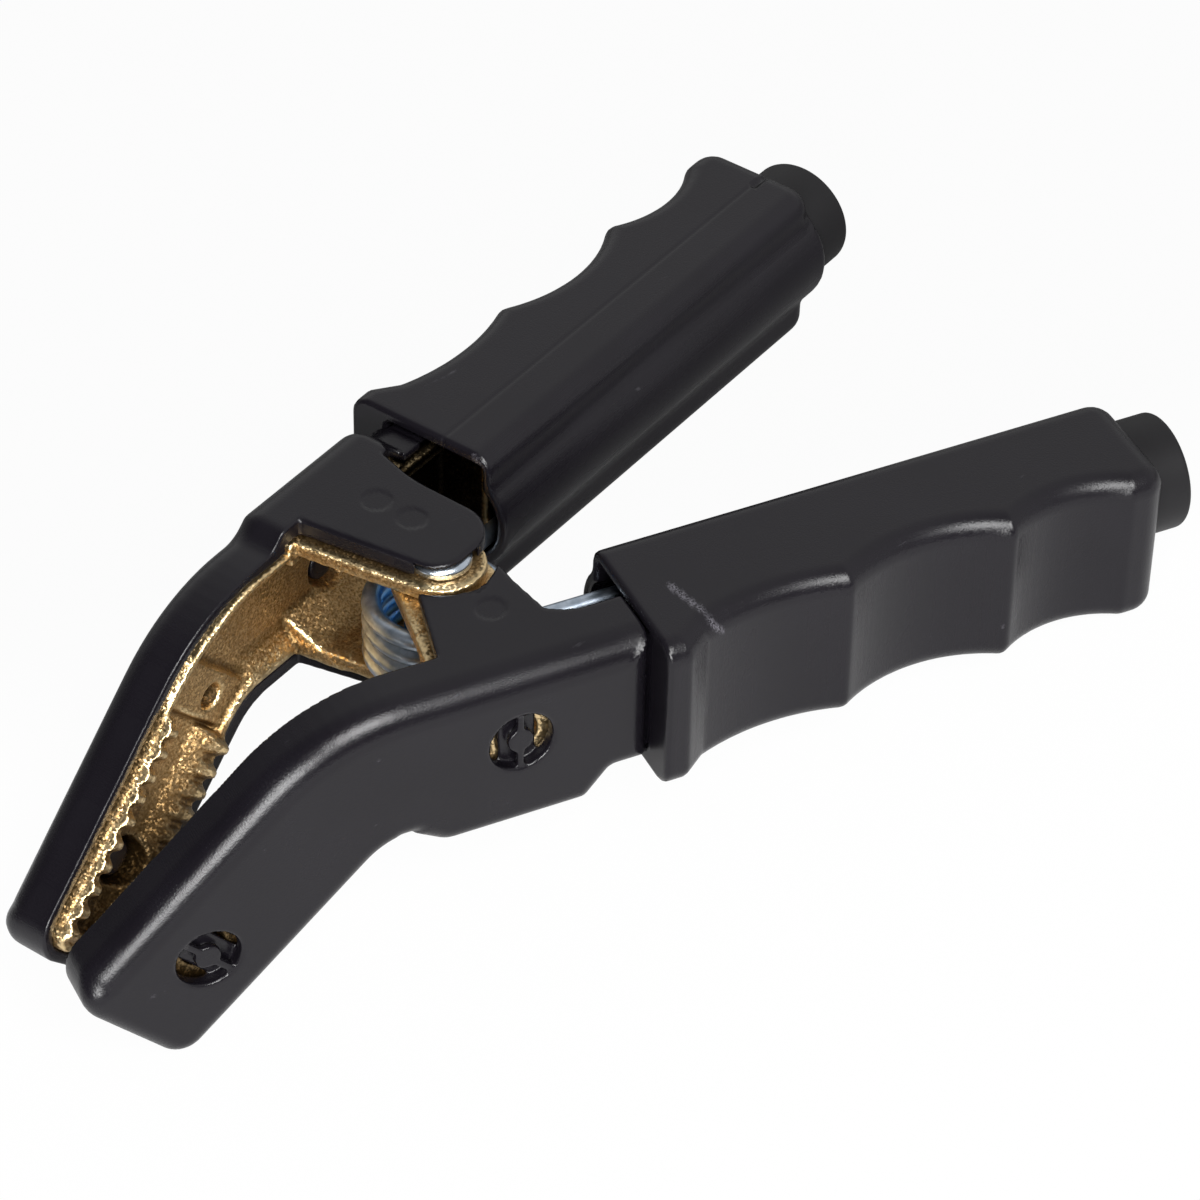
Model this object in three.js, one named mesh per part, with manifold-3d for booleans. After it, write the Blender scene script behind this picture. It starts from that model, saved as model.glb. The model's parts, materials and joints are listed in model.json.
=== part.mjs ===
// Ground clamp for a welding return cable: two insulated brass arms on one rivet,
// closed by a torsion spring, with a cable outlet in the end of each handle.
//
// Millimetres. Each arm is built in its own frame: x runs from the pivot to the handle's end,
// y runs from the pivot out to the arm's flat outer wall, and z runs along the pivot.
// The near arm is the far arm mirrored in y, with its two pivot ears stacked the other way up.

import * as THREE from 'three';
import { mergeVertices } from 'three/addons/utils/BufferGeometryUtils.js';
import Module from 'manifold-3d';

// ---- driving dimensions ----
const ARM_ANGLE = 14.16; // degrees from the middle line to each arm with the jaws closed
const CLEARANCE = 0.3; // between pieces that touch
const OUTER_WALL_Y = 31.9; // flat outer face of the jaw cover

// jaw cover
const COVER_TOP = 14.0;
const COVER_BOTTOM = -13.7;
const COVER_REAR = 21.0;
const COVER_LIP_Y = 21.8; // the open inner edge of the cover
const COVER_WALL = 2.2;
const COVER_OUTER_WALL = 2.7;
const UNDER_ARM_EXTRA = 0.9; // thicker wall on the underside of the arm, and of the jaw
const UNDER_JAW_EXTRA = 1.5;
const COVER_EDGE = 4.2; // rounding of the outer edges
const COVER_REAR_RADIUS = 4.8;
const DROOP = 43.5; // degrees the jaw points down
const BEND_X = -33.8; // where the top line meets the jaw's top line
const JAW_LENGTH = 61.3; // from that bend to the tip
const JAW_HEIGHT = 27.6;
const OUTER_BEND_RADIUS = 36;
const INNER_BEND_RADIUS = 8;
const TIP_TOP_RADIUS = 7;
const TIP_BOTTOM_RADIUS = 4.8;
const PAD_WALL = 1.0; // wall of the raised pad over the rivet's head, and under the near arm
const LOW_PAD_WALL = 1.7;
const PAD_FRONT = -13;
const PAD_REAR = 12;
const PAD_SLOPE = 3; // run of each end of the pad
const LOW_PAD_RAMP = 6.5; // longer front run of the pad under the near arm
const LOW_PAD_RADIUS = 5;
const PLATE_TIP_RADIUS = 6.2;
const PLATE_ROOT_HALF = 11.6; // half-width of the upper plate where it leaves the cover
const SIDE_PLATE_ROOT_HALF = 13.4; // and of the plate beside the other arm's ear
const PLATE_ARC_GAP = 1.0; // round the other arm's ear
const PLATE_RECESS_RADIUS = 7.4; // room for the rivet's head under the tip
const NOTCH_RADIUS = 1.8; // behind the pad, at the lip
const NOTCH_X = 16.2;
const NECK_REAR = 31;
const NECK_TOP = 12.1;
const NECK_INNER_Y = 22.6;
const NECK_OUTER_Y = 29.0;
const VENT_RADIUS = 5.5; // moulding windows in the outer wall
const VENT_DISC_RADIUS = 2.3;
const VENT_BAR_WIDTH = 1.3;
const VENT_DEPTH = 1.4; // the bar and disc sit this far under the outer face
const VENT_THICKNESS = 1.0;

// brass jaw casting
const CASTING_BACK = 4.9;
const CASTING_FLANGE = 2.6;
const CASTING_LIP = 0.5; // the casting's rim stands this far out of the cover
const WEB_THICKNESS = 1.4;
const WEB_START = 7.8; // along the jaw from the bend
const WEB_END = 16.5;
const WEB_HOLE_RADIUS = 2.3;
const WEB_HOLE_ALONG = 12.3;
const WEB_HOLE_ACROSS = 15.5;
const NOSE_GAP = 0.282393; // between the two jaws' tooth levels at their tips, closed
const TOOTH_DEPTH = 2.2;
const TOOTH_PITCH = 4.0;
const TOOTH_RISE = 1.8; // run of a tooth's slow flank, then the flat on its tip
const TOOTH_FLAT = 0.6;
const TOOTH_ROW_WIDTH = 3.4;
const TIP_BLOCK = 3.4;
const JAW_HOLE_RADIUS = 4.3;
const JAW_HOLE_ALONG = 42.7;
const JAW_HOLE_ACROSS = 14.9;
const WINDOW = { front: -5.6, rear: 8, bottom: -3.2, top: 6.2 };
const TAIL_BACK = 3.0;
const TAIL_BACK_Y = 23.4;
const TAIL_FLANGE_Y = 20.8;
const TAIL_HEIGHT = 10.5; // half
const TAIL_WALL = 2.6;
const SPRING_SEAT_X = 30;
const SPRING_SEAT_LENGTH = 3.5;
const BARREL_START = 38;
const BARREL_END = 66;
const BARREL_Y = 18.2;
const BARREL_RADIUS = 7.8;
const BARREL_BORE = 5.6;
const BARREL_FLOOR = 4; // closed front of the barrel
const BOSS_WIDTH = 9;

// pivot
const INNER_EAR = 7.7; // height of the inner ears' inner faces
const EAR_THICKNESS = 2.6;
const OUTER_EAR_RADIUS = 7.6;
const INNER_EAR_RADIUS = 8.2;
const EAR_ROOT_HALF = 12.2;
const RIVET_RADIUS = 3.0;
const RIVET_HEAD_RADIUS = 5.2;
const RIVET_HEAD = 2.2;
const WASHER_RADIUS = 6.2;
const WASHER_THICKNESS = 0.7;
const SPACER_RADIUS = 6.0;

// torsion spring
const WIRE_RADIUS = 1.6;
const COIL_RADIUS = 11.4; // to the middle of the wire
const COIL_PITCH = 3.3;
const COIL_WHOLE_TURNS = 3;
const SPRING_LEG_X = 36;
const SPRING_STEPS = 110;

// handle grip
const HANDLE_FRONT = 23.2;
const HANDLE_REAR = 118.4;
const HANDLE_INNER_Y = 7.7;
const HANDLE_TOP = 15.0;
const HANDLE_BOTTOM = -15.4;
const HANDLE_EDGE = 3.8;
const REAR_CORNER = 4.4;
const HANDLE_WALL = 2.4;
const HANDLE_INNER_WALL = 1.8;
const FLANGE_Y = 37.0; // front flange's outer face
const FLANGE_REAR = 26.8;
const CREASE = { x: 31, y: 33.8 };
const CRESTS = [{ x: 58.2, y: 32.7 }, { x: 88.6, y: 31.8 }, { x: 111.8, y: 31.2 }];
const GROOVE_SAGS = [2.2, 4.0, 3.2]; // depth of each finger groove below its chord
const BULGE_RADIUS = 11.5; // half-round swelling along the inner face
const BULGE_Z = 0.6;
const BULGE_BORE = 9.4;
const CAVITY_REAR = 98;

// cable outlet and conductor clamp
const OUTLET_Y = 15.8;
const OUTLET_Z = 1.6;
const OUTLET_RADIUS = 10.1;
const OUTLET_BORE = 7.8;
const OUTLET_REAR = 126.7;
const CRIMP_WALL = 0.8;
const CRIMP_FRONT = 43;
const CRIMP_REAR = 68;
const SCREW_RADIUS = 2.5;
const SCREW_END_Y = 27.8;
const SCREW_SOCKET_RADIUS = 1.5;
const SCREW_SOCKET_DEPTH = 2.2;
const SCREW_PLACES = { front: 48, rear: 59 };

// ---- values that follow ----
const RAD = Math.PI / 180;
const ARC_STEP = 14 * RAD; // largest turn between two points of a rounded corner
const MERGE = 0.5; // how far joined features run into each other
const CASTING_INSET = COVER_WALL + CLEARANCE;
const CASTING_OUTER_Y = OUTER_WALL_Y - COVER_OUTER_WALL - CLEARANCE;
const CASTING_FLOOR_Y = CASTING_OUTER_Y - CASTING_BACK;
const CASTING_RIM_Y = COVER_LIP_Y - CASTING_LIP;
const INNER_EAR_OUT = INNER_EAR + EAR_THICKNESS;
const OUTER_EAR = INNER_EAR_OUT + CLEARANCE;
const OUTER_EAR_OUT = OUTER_EAR + EAR_THICKNESS;
const EAR_ROOM = Math.max(TAIL_HEIGHT, INNER_EAR_OUT) + CLEARANCE;
const PLATE_ARC_RADIUS = INNER_EAR_RADIUS + PLATE_ARC_GAP;
const HEAD_START = OUTER_EAR_OUT + CLEARANCE;
const HEAD_RECESS = HEAD_START + RIVET_HEAD + CLEARANCE;
const PAD_HEIGHT = HEAD_RECESS + PAD_WALL;
const LOW_PAD_HEIGHT = HEAD_RECESS + LOW_PAD_WALL;
const ALONG = new THREE.Vector2(-Math.cos(DROOP * RAD), -Math.sin(DROOP * RAD));
const ACROSS = new THREE.Vector2(Math.sin(DROOP * RAD), -Math.cos(DROOP * RAD));
const BEND = new THREE.Vector2(BEND_X, COVER_TOP);
const [NOSE_X] = jawPoint(JAW_LENGTH - CASTING_INSET, CASTING_INSET);
const TOOTH_TIP_Y = (NOSE_GAP / 2 - NOSE_X * Math.sin(ARM_ANGLE * RAD)) / Math.cos(ARM_ANGLE * RAD);

const wasm = await Module();
wasm.setup();

// ---- shaping helpers ----

// A closed outline with rounded corners, moved inwards by inset. Corners run anticlockwise.
function roundedOutline(corners, inset = 0) {
  const points = corners.map(([x, y]) => new THREE.Vector2(x, y));
  const count = points.length;
  const directions = points.map((point, i) => points[(i + 1) % count].clone().sub(point).normalize());
  const outline = [];
  for (let i = 0; i < count; i += 1) {
    const before = directions[(i + count - 1) % count];
    const after = directions[i];
    const turn = Math.atan2(before.cross(after), before.dot(after));
    const shift = inset * Math.tan(turn / 2);
    const normal = new THREE.Vector2(-after.y, after.x);
    const corner = points[i].clone().addScaledVector(normal, inset).addScaledVector(after, shift);
    const wanted = corners[i][2] ?? 0;
    const radius = wanted > 0 ? Math.max(wanted - inset * Math.sign(turn), 0) : 0;
    if (radius === 0) {
      outline.push(corner);
      continue;
    }
    const setback = radius * Math.tan(Math.abs(turn) / 2);
    const side = Math.sign(turn);
    const start = corner.clone().addScaledVector(before, -setback);
    const centre = start.clone().add(new THREE.Vector2(-before.y, before.x).multiplyScalar(radius * side));
    const first = Math.atan2(start.y - centre.y, start.x - centre.x);
    const steps = Math.max(2, Math.ceil(Math.abs(turn) / ARC_STEP));
    for (let k = 0; k <= steps; k += 1) {
      const angle = first + (turn * k) / steps;
      outline.push(new THREE.Vector2(Math.cos(angle), Math.sin(angle)).multiplyScalar(radius).add(centre));
    }
  }
  return outline;
}

function toSolid(geometry) {
  geometry.deleteAttribute('normal');
  geometry.deleteAttribute('uv');
  const merged = mergeVertices(geometry, 1e-4);
  const vertProperties = Float32Array.from(merged.attributes.position.array);
  const triVerts = Uint32Array.from(merged.index.array);
  return new wasm.Manifold(new wasm.Mesh({ numProp: 3, vertProperties, triVerts }));
}

function toGeometry(solid) {
  const { vertProperties, triVerts } = solid.getMesh();
  const geometry = new THREE.BufferGeometry();
  geometry.setAttribute('position', new THREE.BufferAttribute(vertProperties, 3));
  geometry.setIndex(new THREE.BufferAttribute(triVerts, 1));
  geometry.computeVertexNormals();
  return geometry;
}

function extrude(outline, depth, edge) {
  const straight = depth - 2 * edge;
  const geometry = new THREE.ExtrudeGeometry(new THREE.Shape(outline), {
    depth: straight,
    steps: 1,
    bevelEnabled: edge > 0,
    bevelThickness: edge,
    bevelSize: edge,
    bevelOffset: -edge,
    bevelSegments: 4,
  });
  return geometry.translate(0, 0, edge);
}

// An outline in (x, z), made solid from y0 to y1.
function sideSolid(outline, y0, y1, edge = 0) {
  return toSolid(extrude(outline, y1 - y0, edge).rotateX(Math.PI / 2).translate(0, y1, 0));
}

// An outline in (x, y), made solid from z0 to z1.
function planSolid(outline, z0, z1, edge = 0) {
  return toSolid(extrude(outline, z1 - z0, edge).translate(0, 0, z0));
}

function boxSolid([x0, y0, z0], [x1, y1, z1]) {
  const geometry = new THREE.BoxGeometry(x1 - x0, y1 - y0, z1 - z0);
  return toSolid(geometry.translate((x0 + x1) / 2, (y0 + y1) / 2, (z0 + z1) / 2));
}

// A solid turned about the z axis from [radius, z] points, as a closed ring or on the axis.
function turned(profile, segments = 32) {
  const points = profile.map(([radius, z]) => new THREE.Vector2(radius, z));
  points.push(points[0].clone());
  return new THREE.LatheGeometry(points, segments).rotateX(Math.PI / 2);
}

function rodProfile(radius, z0, z1) {
  return [[0, z0], [radius, z0], [radius, z1], [0, z1]];
}

function tubeProfile(inner, outer, z0, z1) {
  return [[inner, z0], [outer, z0], [outer, z1], [inner, z1]];
}

const alongX = (geometry, y, z) => geometry.rotateY(Math.PI / 2).translate(0, y, z);
const alongY = (geometry, x, z) => geometry.rotateX(-Math.PI / 2).translate(x, 0, z);

function rodAlongX(radius, x0, x1, y, z) {
  return toSolid(alongX(turned(rodProfile(radius, x0, x1)), y, z));
}

function rodAlongY(radius, y0, y1, x, z, segments = 32) {
  return toSolid(alongY(turned(rodProfile(radius, y0, y1), segments), x, z));
}

function rodAlongZ(radius, z0, z1) {
  return toSolid(turned(rodProfile(radius, z0, z1)));
}

// A place on the jaw: along it from the bend, and across it from its top line, as [x, z].
function jawPoint(along, across) {
  const point = BEND.clone().addScaledVector(ALONG, along).addScaledVector(ACROSS, across);
  return [point.x, point.y];
}

function jawPatch(along0, along1, across0, across1) {
  const corners = [[along1, across0], [along1, across1], [along0, across1], [along0, across0]];
  return corners.map(([along, across]) => jawPoint(along, across));
}

// ---- outlines ----

// The arm from the side, from its top line down to an underside at bottom and, on the jaw, at height
// below the top line. A pad's corners go in the bottom or the top line.
function sideCorners(bottom, height, lowPad = [], topPad = []) {
  const tipBottom = jawPoint(JAW_LENGTH, height);
  const rise = (bottom - tipBottom[1]) / Math.tan(DROOP * RAD);
  return [
    [tipBottom[0] + rise, bottom, INNER_BEND_RADIUS],
    ...lowPad,
    [COVER_REAR, bottom, COVER_REAR_RADIUS],
    [COVER_REAR, COVER_TOP, COVER_REAR_RADIUS],
    ...topPad,
    [BEND_X, COVER_TOP, OUTER_BEND_RADIUS],
    [...jawPoint(JAW_LENGTH, 0), TIP_TOP_RADIUS],
    [...tipBottom, TIP_BOTTOM_RADIUS],
  ];
}

// The cover's outside, with the pad over the outer ear on the top (1) or the bottom (-1).
function coverCorners(padSide) {
  const lowPad = [
    [PAD_FRONT - LOW_PAD_RAMP, COVER_BOTTOM],
    [PAD_FRONT, -LOW_PAD_HEIGHT, LOW_PAD_RADIUS],
    [PAD_REAR, -LOW_PAD_HEIGHT],
    [PAD_REAR + PAD_SLOPE, COVER_BOTTOM],
  ];
  const topPad = [
    [PAD_REAR + PAD_SLOPE, COVER_TOP],
    [PAD_REAR, PAD_HEIGHT],
    [PAD_FRONT, PAD_HEIGHT],
    [PAD_FRONT - PAD_SLOPE, COVER_TOP],
  ];
  if (padSide > 0) return sideCorners(COVER_BOTTOM, JAW_HEIGHT, [], topPad);
  return sideCorners(COVER_BOTTOM, JAW_HEIGHT, lowPad);
}

// The same outline without the pad and the underside's extra wall: the inset outlines start from it.
function innerCorners() {
  return sideCorners(COVER_BOTTOM + UNDER_ARM_EXTRA, JAW_HEIGHT - UNDER_JAW_EXTRA);
}

// A plate that reaches from the arm to the pivot and ends round it.
function earOutline(tipRadius, rootHalf, rootY) {
  const reach = Math.hypot(rootHalf, rootY);
  const tangent = Math.acos(tipRadius / reach);
  const start = Math.atan2(rootY, -rootHalf) + tangent;
  const end = Math.atan2(rootY, rootHalf) - tangent + 2 * Math.PI;
  const steps = 14;
  const outline = [];
  for (let k = 0; k <= steps; k += 1) {
    const angle = start + ((end - start) * k) / steps;
    outline.push(new THREE.Vector2(tipRadius * Math.cos(angle), tipRadius * Math.sin(angle)));
  }
  outline.push(new THREE.Vector2(rootHalf, rootY), new THREE.Vector2(-rootHalf, rootY));
  return outline;
}

// The points of a shallow arc from a to b that dips towards the middle of the handle.
function grooveArc(a, b, sag, steps = 8) {
  const half = Math.hypot(b.x - a.x, b.y - a.y) / 2;
  const radius = (half * half + sag * sag) / (2 * sag);
  const points = [];
  for (let k = 1; k <= steps; k += 1) {
    const t = k / steps;
    const fromMiddle = (2 * t - 1) * half;
    const dip = Math.sqrt(radius * radius - fromMiddle * fromMiddle) - (radius - sag);
    points.push(new THREE.Vector2(a.x + (b.x - a.x) * t, a.y + (b.y - a.y) * t - dip));
  }
  return points;
}

// The grip's outer line from the front flange back over the three finger grooves.
function gripLine(inset) {
  const lowered = ({ x, y }) => new THREE.Vector2(x, y - inset);
  const line = [{ x: FLANGE_REAR, y: FLANGE_Y }, CREASE].map(lowered);
  let from = CREASE;
  CRESTS.forEach((crest, i) => {
    line.push(...grooveArc(lowered(from), lowered(crest), GROOVE_SAGS[i]));
    from = crest;
  });
  return line;
}

// ---- pieces of one arm ----

// One tooth of the row as [distance along the jaw, height over the root].
function tooth(index) {
  const start = index * TOOTH_PITCH;
  const tip = start + TOOTH_RISE;
  return [[start, 0], [tip, TOOTH_DEPTH], [tip + TOOTH_FLAT, TOOTH_DEPTH]];
}

// One row of cast teeth, ridges across the row.
function toothRow(across) {
  const start = WEB_END + 1;
  const end = JAW_LENGTH - CASTING_INSET;
  const count = Math.floor((end - start) / TOOTH_PITCH);
  const root = TOOTH_TIP_Y + TOOTH_DEPTH;
  const outline = [new THREE.Vector2(start, CASTING_FLOOR_Y + 1)];
  for (let i = 0; i < count; i += 1) {
    tooth(i).forEach(([along, height]) => {
      outline.push(new THREE.Vector2(start + along, root - height));
    });
  }
  outline.push(new THREE.Vector2(start + count * TOOTH_PITCH, root));
  outline.push(new THREE.Vector2(start + count * TOOTH_PITCH, CASTING_FLOOR_Y + 1));
  const axes = new THREE.Matrix4().makeBasis(
    new THREE.Vector3(ALONG.x, 0, ALONG.y),
    new THREE.Vector3(0, 1, 0),
    new THREE.Vector3(ACROSS.x, 0, ACROSS.y),
  );
  const [x, z] = jawPoint(0, across);
  axes.setPosition(x, 0, z);
  return toSolid(extrude(outline, TOOTH_ROW_WIDTH, 0).applyMatrix4(axes));
}

function jawCasting(padSide) {
  const outline = (inset) => roundedOutline(innerCorners(), inset);
  const body = sideSolid(outline(CASTING_INSET), TOOTH_TIP_Y, CASTING_OUTER_Y);
  let solid = sideSolid(outline(CASTING_INSET), CASTING_FLOOR_Y, CASTING_OUTER_Y);
  const rim = sideSolid(outline(CASTING_INSET), CASTING_RIM_Y, CASTING_FLOOR_Y + 1);
  const hollow = sideSolid(outline(CASTING_INSET + CASTING_FLANGE), CASTING_RIM_Y - 1, CASTING_FLOOR_Y);
  const rearGap = boxSolid(
    [PAD_REAR, CASTING_RIM_Y - 1, -INNER_EAR],
    [COVER_REAR, CASTING_FLOOR_Y, INNER_EAR],
  );
  solid = solid.add(rim.subtract(hollow).subtract(rearGap));

  const innerEdge = JAW_HEIGHT - UNDER_JAW_EXTRA - CASTING_INSET;
  const webFace = CASTING_FLOOR_Y - WEB_THICKNESS;
  const web = jawPatch(WEB_START, WEB_END, CASTING_INSET, innerEdge);
  const tipBlock = jawPatch(JAW_LENGTH - CASTING_INSET - TIP_BLOCK, JAW_LENGTH, CASTING_INSET, innerEdge);
  const additions = [
    sideSolid(roundedOutline(web), webFace, CASTING_FLOOR_Y + 1),
    sideSolid(roundedOutline(tipBlock), TOOTH_TIP_Y + TOOTH_DEPTH / 2, CASTING_FLOOR_Y + 1),
    toothRow(CASTING_INSET),
    toothRow(innerEdge - TOOTH_ROW_WIDTH),
  ];
  additions.forEach((addition) => {
    solid = solid.add(addition.intersect(body));
  });

  // ears: the outer one on the pad's side, the inner one opposite
  const earRootY = CASTING_OUTER_Y - MERGE;
  const outerEar = earOutline(OUTER_EAR_RADIUS, EAR_ROOT_HALF, earRootY);
  const innerEar = earOutline(INNER_EAR_RADIUS, EAR_ROOT_HALF, earRootY);
  const span = (a, b) => [Math.min(a * padSide, b * padSide), Math.max(a * padSide, b * padSide)];
  solid = solid.add(planSolid(outerEar, ...span(OUTER_EAR, OUTER_EAR_OUT)));
  solid = solid.add(planSolid(innerEar, ...span(-INNER_EAR_OUT, -INNER_EAR)));
  const [rootLow, rootHigh] = span(INNER_EAR + 1, OUTER_EAR_OUT);
  solid = solid.add(boxSolid(
    [-EAR_ROOT_HALF, CASTING_RIM_Y, rootLow],
    [EAR_ROOT_HALF, earRootY, rootHigh],
  ));

  // tail: a channel into the handle, a seat for the spring's leg and a barrel for the cable
  const tailOuterY = TAIL_BACK_Y + TAIL_BACK;
  const channel = boxSolid(
    [PAD_REAR, TAIL_FLANGE_Y, -TAIL_HEIGHT],
    [BARREL_START + 4, tailOuterY, TAIL_HEIGHT],
  );
  const channelGap = boxSolid(
    [PAD_REAR - 1, TAIL_FLANGE_Y - 1, -TAIL_HEIGHT + TAIL_WALL],
    [BARREL_START + 5, TAIL_BACK_Y, TAIL_HEIGHT - TAIL_WALL],
  );
  const seat = boxSolid(
    [SPRING_SEAT_X, COIL_RADIUS + WIRE_RADIUS + CLEARANCE, -TAIL_HEIGHT + 1],
    [SPRING_SEAT_X + SPRING_SEAT_LENGTH, TAIL_BACK_Y + 1, TAIL_HEIGHT - 1],
  );
  const boss = boxSolid(
    [BARREL_START + 2, BARREL_Y, -BOSS_WIDTH / 2],
    [BARREL_END, tailOuterY, BOSS_WIDTH / 2],
  );
  solid = solid.add(channel.subtract(channelGap)).add(seat).add(boss);
  solid = solid.add(rodAlongX(BARREL_RADIUS, BARREL_START, BARREL_END, BARREL_Y, 0));
  solid = solid.subtract(rodAlongX(BARREL_BORE, BARREL_START + BARREL_FLOOR, BARREL_END + 1, BARREL_Y, 0));
  Object.values(SCREW_PLACES).forEach((x) => {
    solid = solid.subtract(rodAlongY(SCREW_RADIUS + CLEARANCE, BARREL_Y, tailOuterY + 1, x, 0));
  });

  // holes and the cast window beside the pivot
  const through = [WEB_HOLE_RADIUS, JAW_HOLE_RADIUS];
  const places = [jawPoint(WEB_HOLE_ALONG, WEB_HOLE_ACROSS), jawPoint(JAW_HOLE_ALONG, JAW_HOLE_ACROSS)];
  places.forEach(([x, z], i) => {
    solid = solid.subtract(rodAlongY(through[i], TOOTH_TIP_Y, CASTING_OUTER_Y + 1, x, z));
  });
  solid = solid.subtract(boxSolid(
    [WINDOW.front, CASTING_FLOOR_Y - 1, WINDOW.bottom],
    [WINDOW.rear, CASTING_OUTER_Y + 1, WINDOW.top],
  ));
  return solid.subtract(rodAlongZ(RIVET_RADIUS + CLEARANCE, -PAD_HEIGHT, PAD_HEIGHT));
}

// The bar and disc left across a window; lean turns the bar from upright about the window's axis.
function ventBar(x, z, lean) {
  const face = OUTER_WALL_Y - VENT_DEPTH;
  const low = face - VENT_THICKNESS;
  const reach = VENT_RADIUS + VENT_THICKNESS / 2;
  const bar = new THREE.BoxGeometry(VENT_BAR_WIDTH, VENT_THICKNESS, 2 * reach);
  bar.rotateY(lean).translate(x, (low + face) / 2, z);
  return toSolid(bar).add(rodAlongY(VENT_DISC_RADIUS, low, face, x, z, 20));
}

function jawCover(padSide) {
  const shell = sideSolid(
    roundedOutline(coverCorners(padSide)),
    COVER_LIP_Y - 2 * COVER_EDGE,
    OUTER_WALL_Y,
    COVER_EDGE,
  );
  const far = 200;
  const openSide = boxSolid([-far, -far, -far], [far, COVER_LIP_Y, far]);
  let solid = shell.subtract(openSide);

  // the plate over the outer ear, and the plate beside the inner ear with its arc round the pivot
  const span = (a, b) => [Math.min(a * padSide, b * padSide), Math.max(a * padSide, b * padSide)];
  const rootY = COVER_LIP_Y + 2;
  const plate = earOutline(PLATE_TIP_RADIUS, PLATE_ROOT_HALF, rootY);
  const [plateFace, sideFace] = padSide > 0 ? [PAD_HEIGHT, -COVER_BOTTOM] : [LOW_PAD_HEIGHT, COVER_TOP];
  solid = solid.add(planSolid(plate, ...span(HEAD_START, plateFace)));
  const arc = rodAlongZ(PLATE_ARC_RADIUS, -PAD_HEIGHT, PAD_HEIGHT);
  const sidePlate = earOutline(PLATE_ARC_RADIUS - 2, SIDE_PLATE_ROOT_HALF, rootY).filter((p) => p.y > 0);
  const lowPlate = planSolid(sidePlate, ...span(-sideFace, -EAR_ROOM));
  solid = solid.add(lowPlate.subtract(arc));

  // the neck that goes into the handle's mouth
  const neckStart = COVER_REAR - 2 * COVER_REAR_RADIUS;
  solid = solid.add(boxSolid([neckStart, NECK_INNER_Y, -NECK_TOP], [NECK_REAR, NECK_OUTER_Y, NECK_TOP]));

  const notch = rodProfile(NOTCH_RADIUS, ...span(TAIL_HEIGHT, PAD_HEIGHT + 1));
  solid = solid.subtract(toSolid(turned(notch).translate(NOTCH_X, COVER_LIP_Y, 0)));

  // hollow for the casting, its ears and its tail
  const inner = roundedOutline(innerCorners(), COVER_WALL);
  solid = solid.subtract(sideSolid(inner, COVER_LIP_Y - 1, OUTER_WALL_Y - COVER_OUTER_WALL));
  const [low, high] = span(-EAR_ROOM, HEAD_START);
  const earHalf = EAR_ROOT_HALF + CLEARANCE;
  const earRoom = boxSolid([-earHalf, 0, low], [earHalf, CASTING_OUTER_Y, high]);
  solid = solid.subtract(earRoom);
  const tailRoom = boxSolid(
    [PAD_REAR - CLEARANCE, 0, -TAIL_HEIGHT - CLEARANCE],
    [far, TAIL_BACK_Y + TAIL_BACK + CLEARANCE, TAIL_HEIGHT + CLEARANCE],
  );
  solid = solid.subtract(tailRoom);
  const recess = rodProfile(PLATE_RECESS_RADIUS, ...span(HEAD_START - 1, HEAD_RECESS));
  solid = solid.subtract(toSolid(turned(recess)));

  // moulding windows over the pivot and over the jaw hole
  const windows = [[0, 0, 0], [...jawPoint(JAW_HOLE_ALONG, JAW_HOLE_ACROSS), -DROOP * RAD]];
  windows.forEach(([x, z, lean]) => {
    solid = solid.subtract(rodAlongY(VENT_RADIUS, CASTING_OUTER_Y, OUTER_WALL_Y + 1, x, z));
    solid = solid.add(ventBar(x, z, lean));
  });
  return solid;
}

function handleGrip() {
  const lead = HANDLE_FRONT - 2 * HANDLE_EDGE;
  const rearY = CRESTS.at(-1).y;
  const outer = [
    [lead, HANDLE_INNER_Y],
    [HANDLE_REAR, HANDLE_INNER_Y, REAR_CORNER],
    [HANDLE_REAR, rearY, REAR_CORNER],
    ...gripLine(0).reverse().map(({ x, y }) => [x, y]),
    [lead, FLANGE_Y],
  ];
  const front = boxSolid([lead - 1, 0, HANDLE_BOTTOM - 1], [HANDLE_FRONT, FLANGE_Y + 1, HANDLE_TOP + 1]);
  let solid = planSolid(roundedOutline(outer), HANDLE_BOTTOM, HANDLE_TOP, HANDLE_EDGE).subtract(front);
  solid = solid.add(rodAlongX(BULGE_RADIUS, HANDLE_FRONT, HANDLE_REAR, OUTLET_Y, BULGE_Z));

  const inner = [
    [lead, HANDLE_INNER_Y + HANDLE_INNER_WALL],
    [HANDLE_REAR, HANDLE_INNER_Y + HANDLE_INNER_WALL],
    [HANDLE_REAR, rearY - HANDLE_WALL],
    ...gripLine(HANDLE_WALL).reverse().map(({ x, y }) => [x, y]),
    [lead, FLANGE_Y - HANDLE_WALL],
  ];
  const cavity = planSolid(roundedOutline(inner), HANDLE_BOTTOM + HANDLE_WALL, HANDLE_TOP - HANDLE_WALL);
  const reach = boxSolid([lead - 1, 0, HANDLE_BOTTOM], [CAVITY_REAR, FLANGE_Y, HANDLE_TOP]);
  solid = solid.subtract(cavity.intersect(reach));
  solid = solid.subtract(rodAlongX(BULGE_BORE, HANDLE_FRONT - 1, CAVITY_REAR + 1, OUTLET_Y, BULGE_Z));
  const seat = rodAlongX(OUTLET_RADIUS + CLEARANCE, CAVITY_REAR, HANDLE_REAR + 1, OUTLET_Y, OUTLET_Z);
  return solid.subtract(seat);
}

function cableSleeve() {
  const profile = tubeProfile(OUTLET_BORE, OUTLET_RADIUS, CAVITY_REAR + CLEARANCE, OUTLET_REAR);
  return toSolid(alongX(turned(profile, 40), OUTLET_Y, OUTLET_Z));
}

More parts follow.
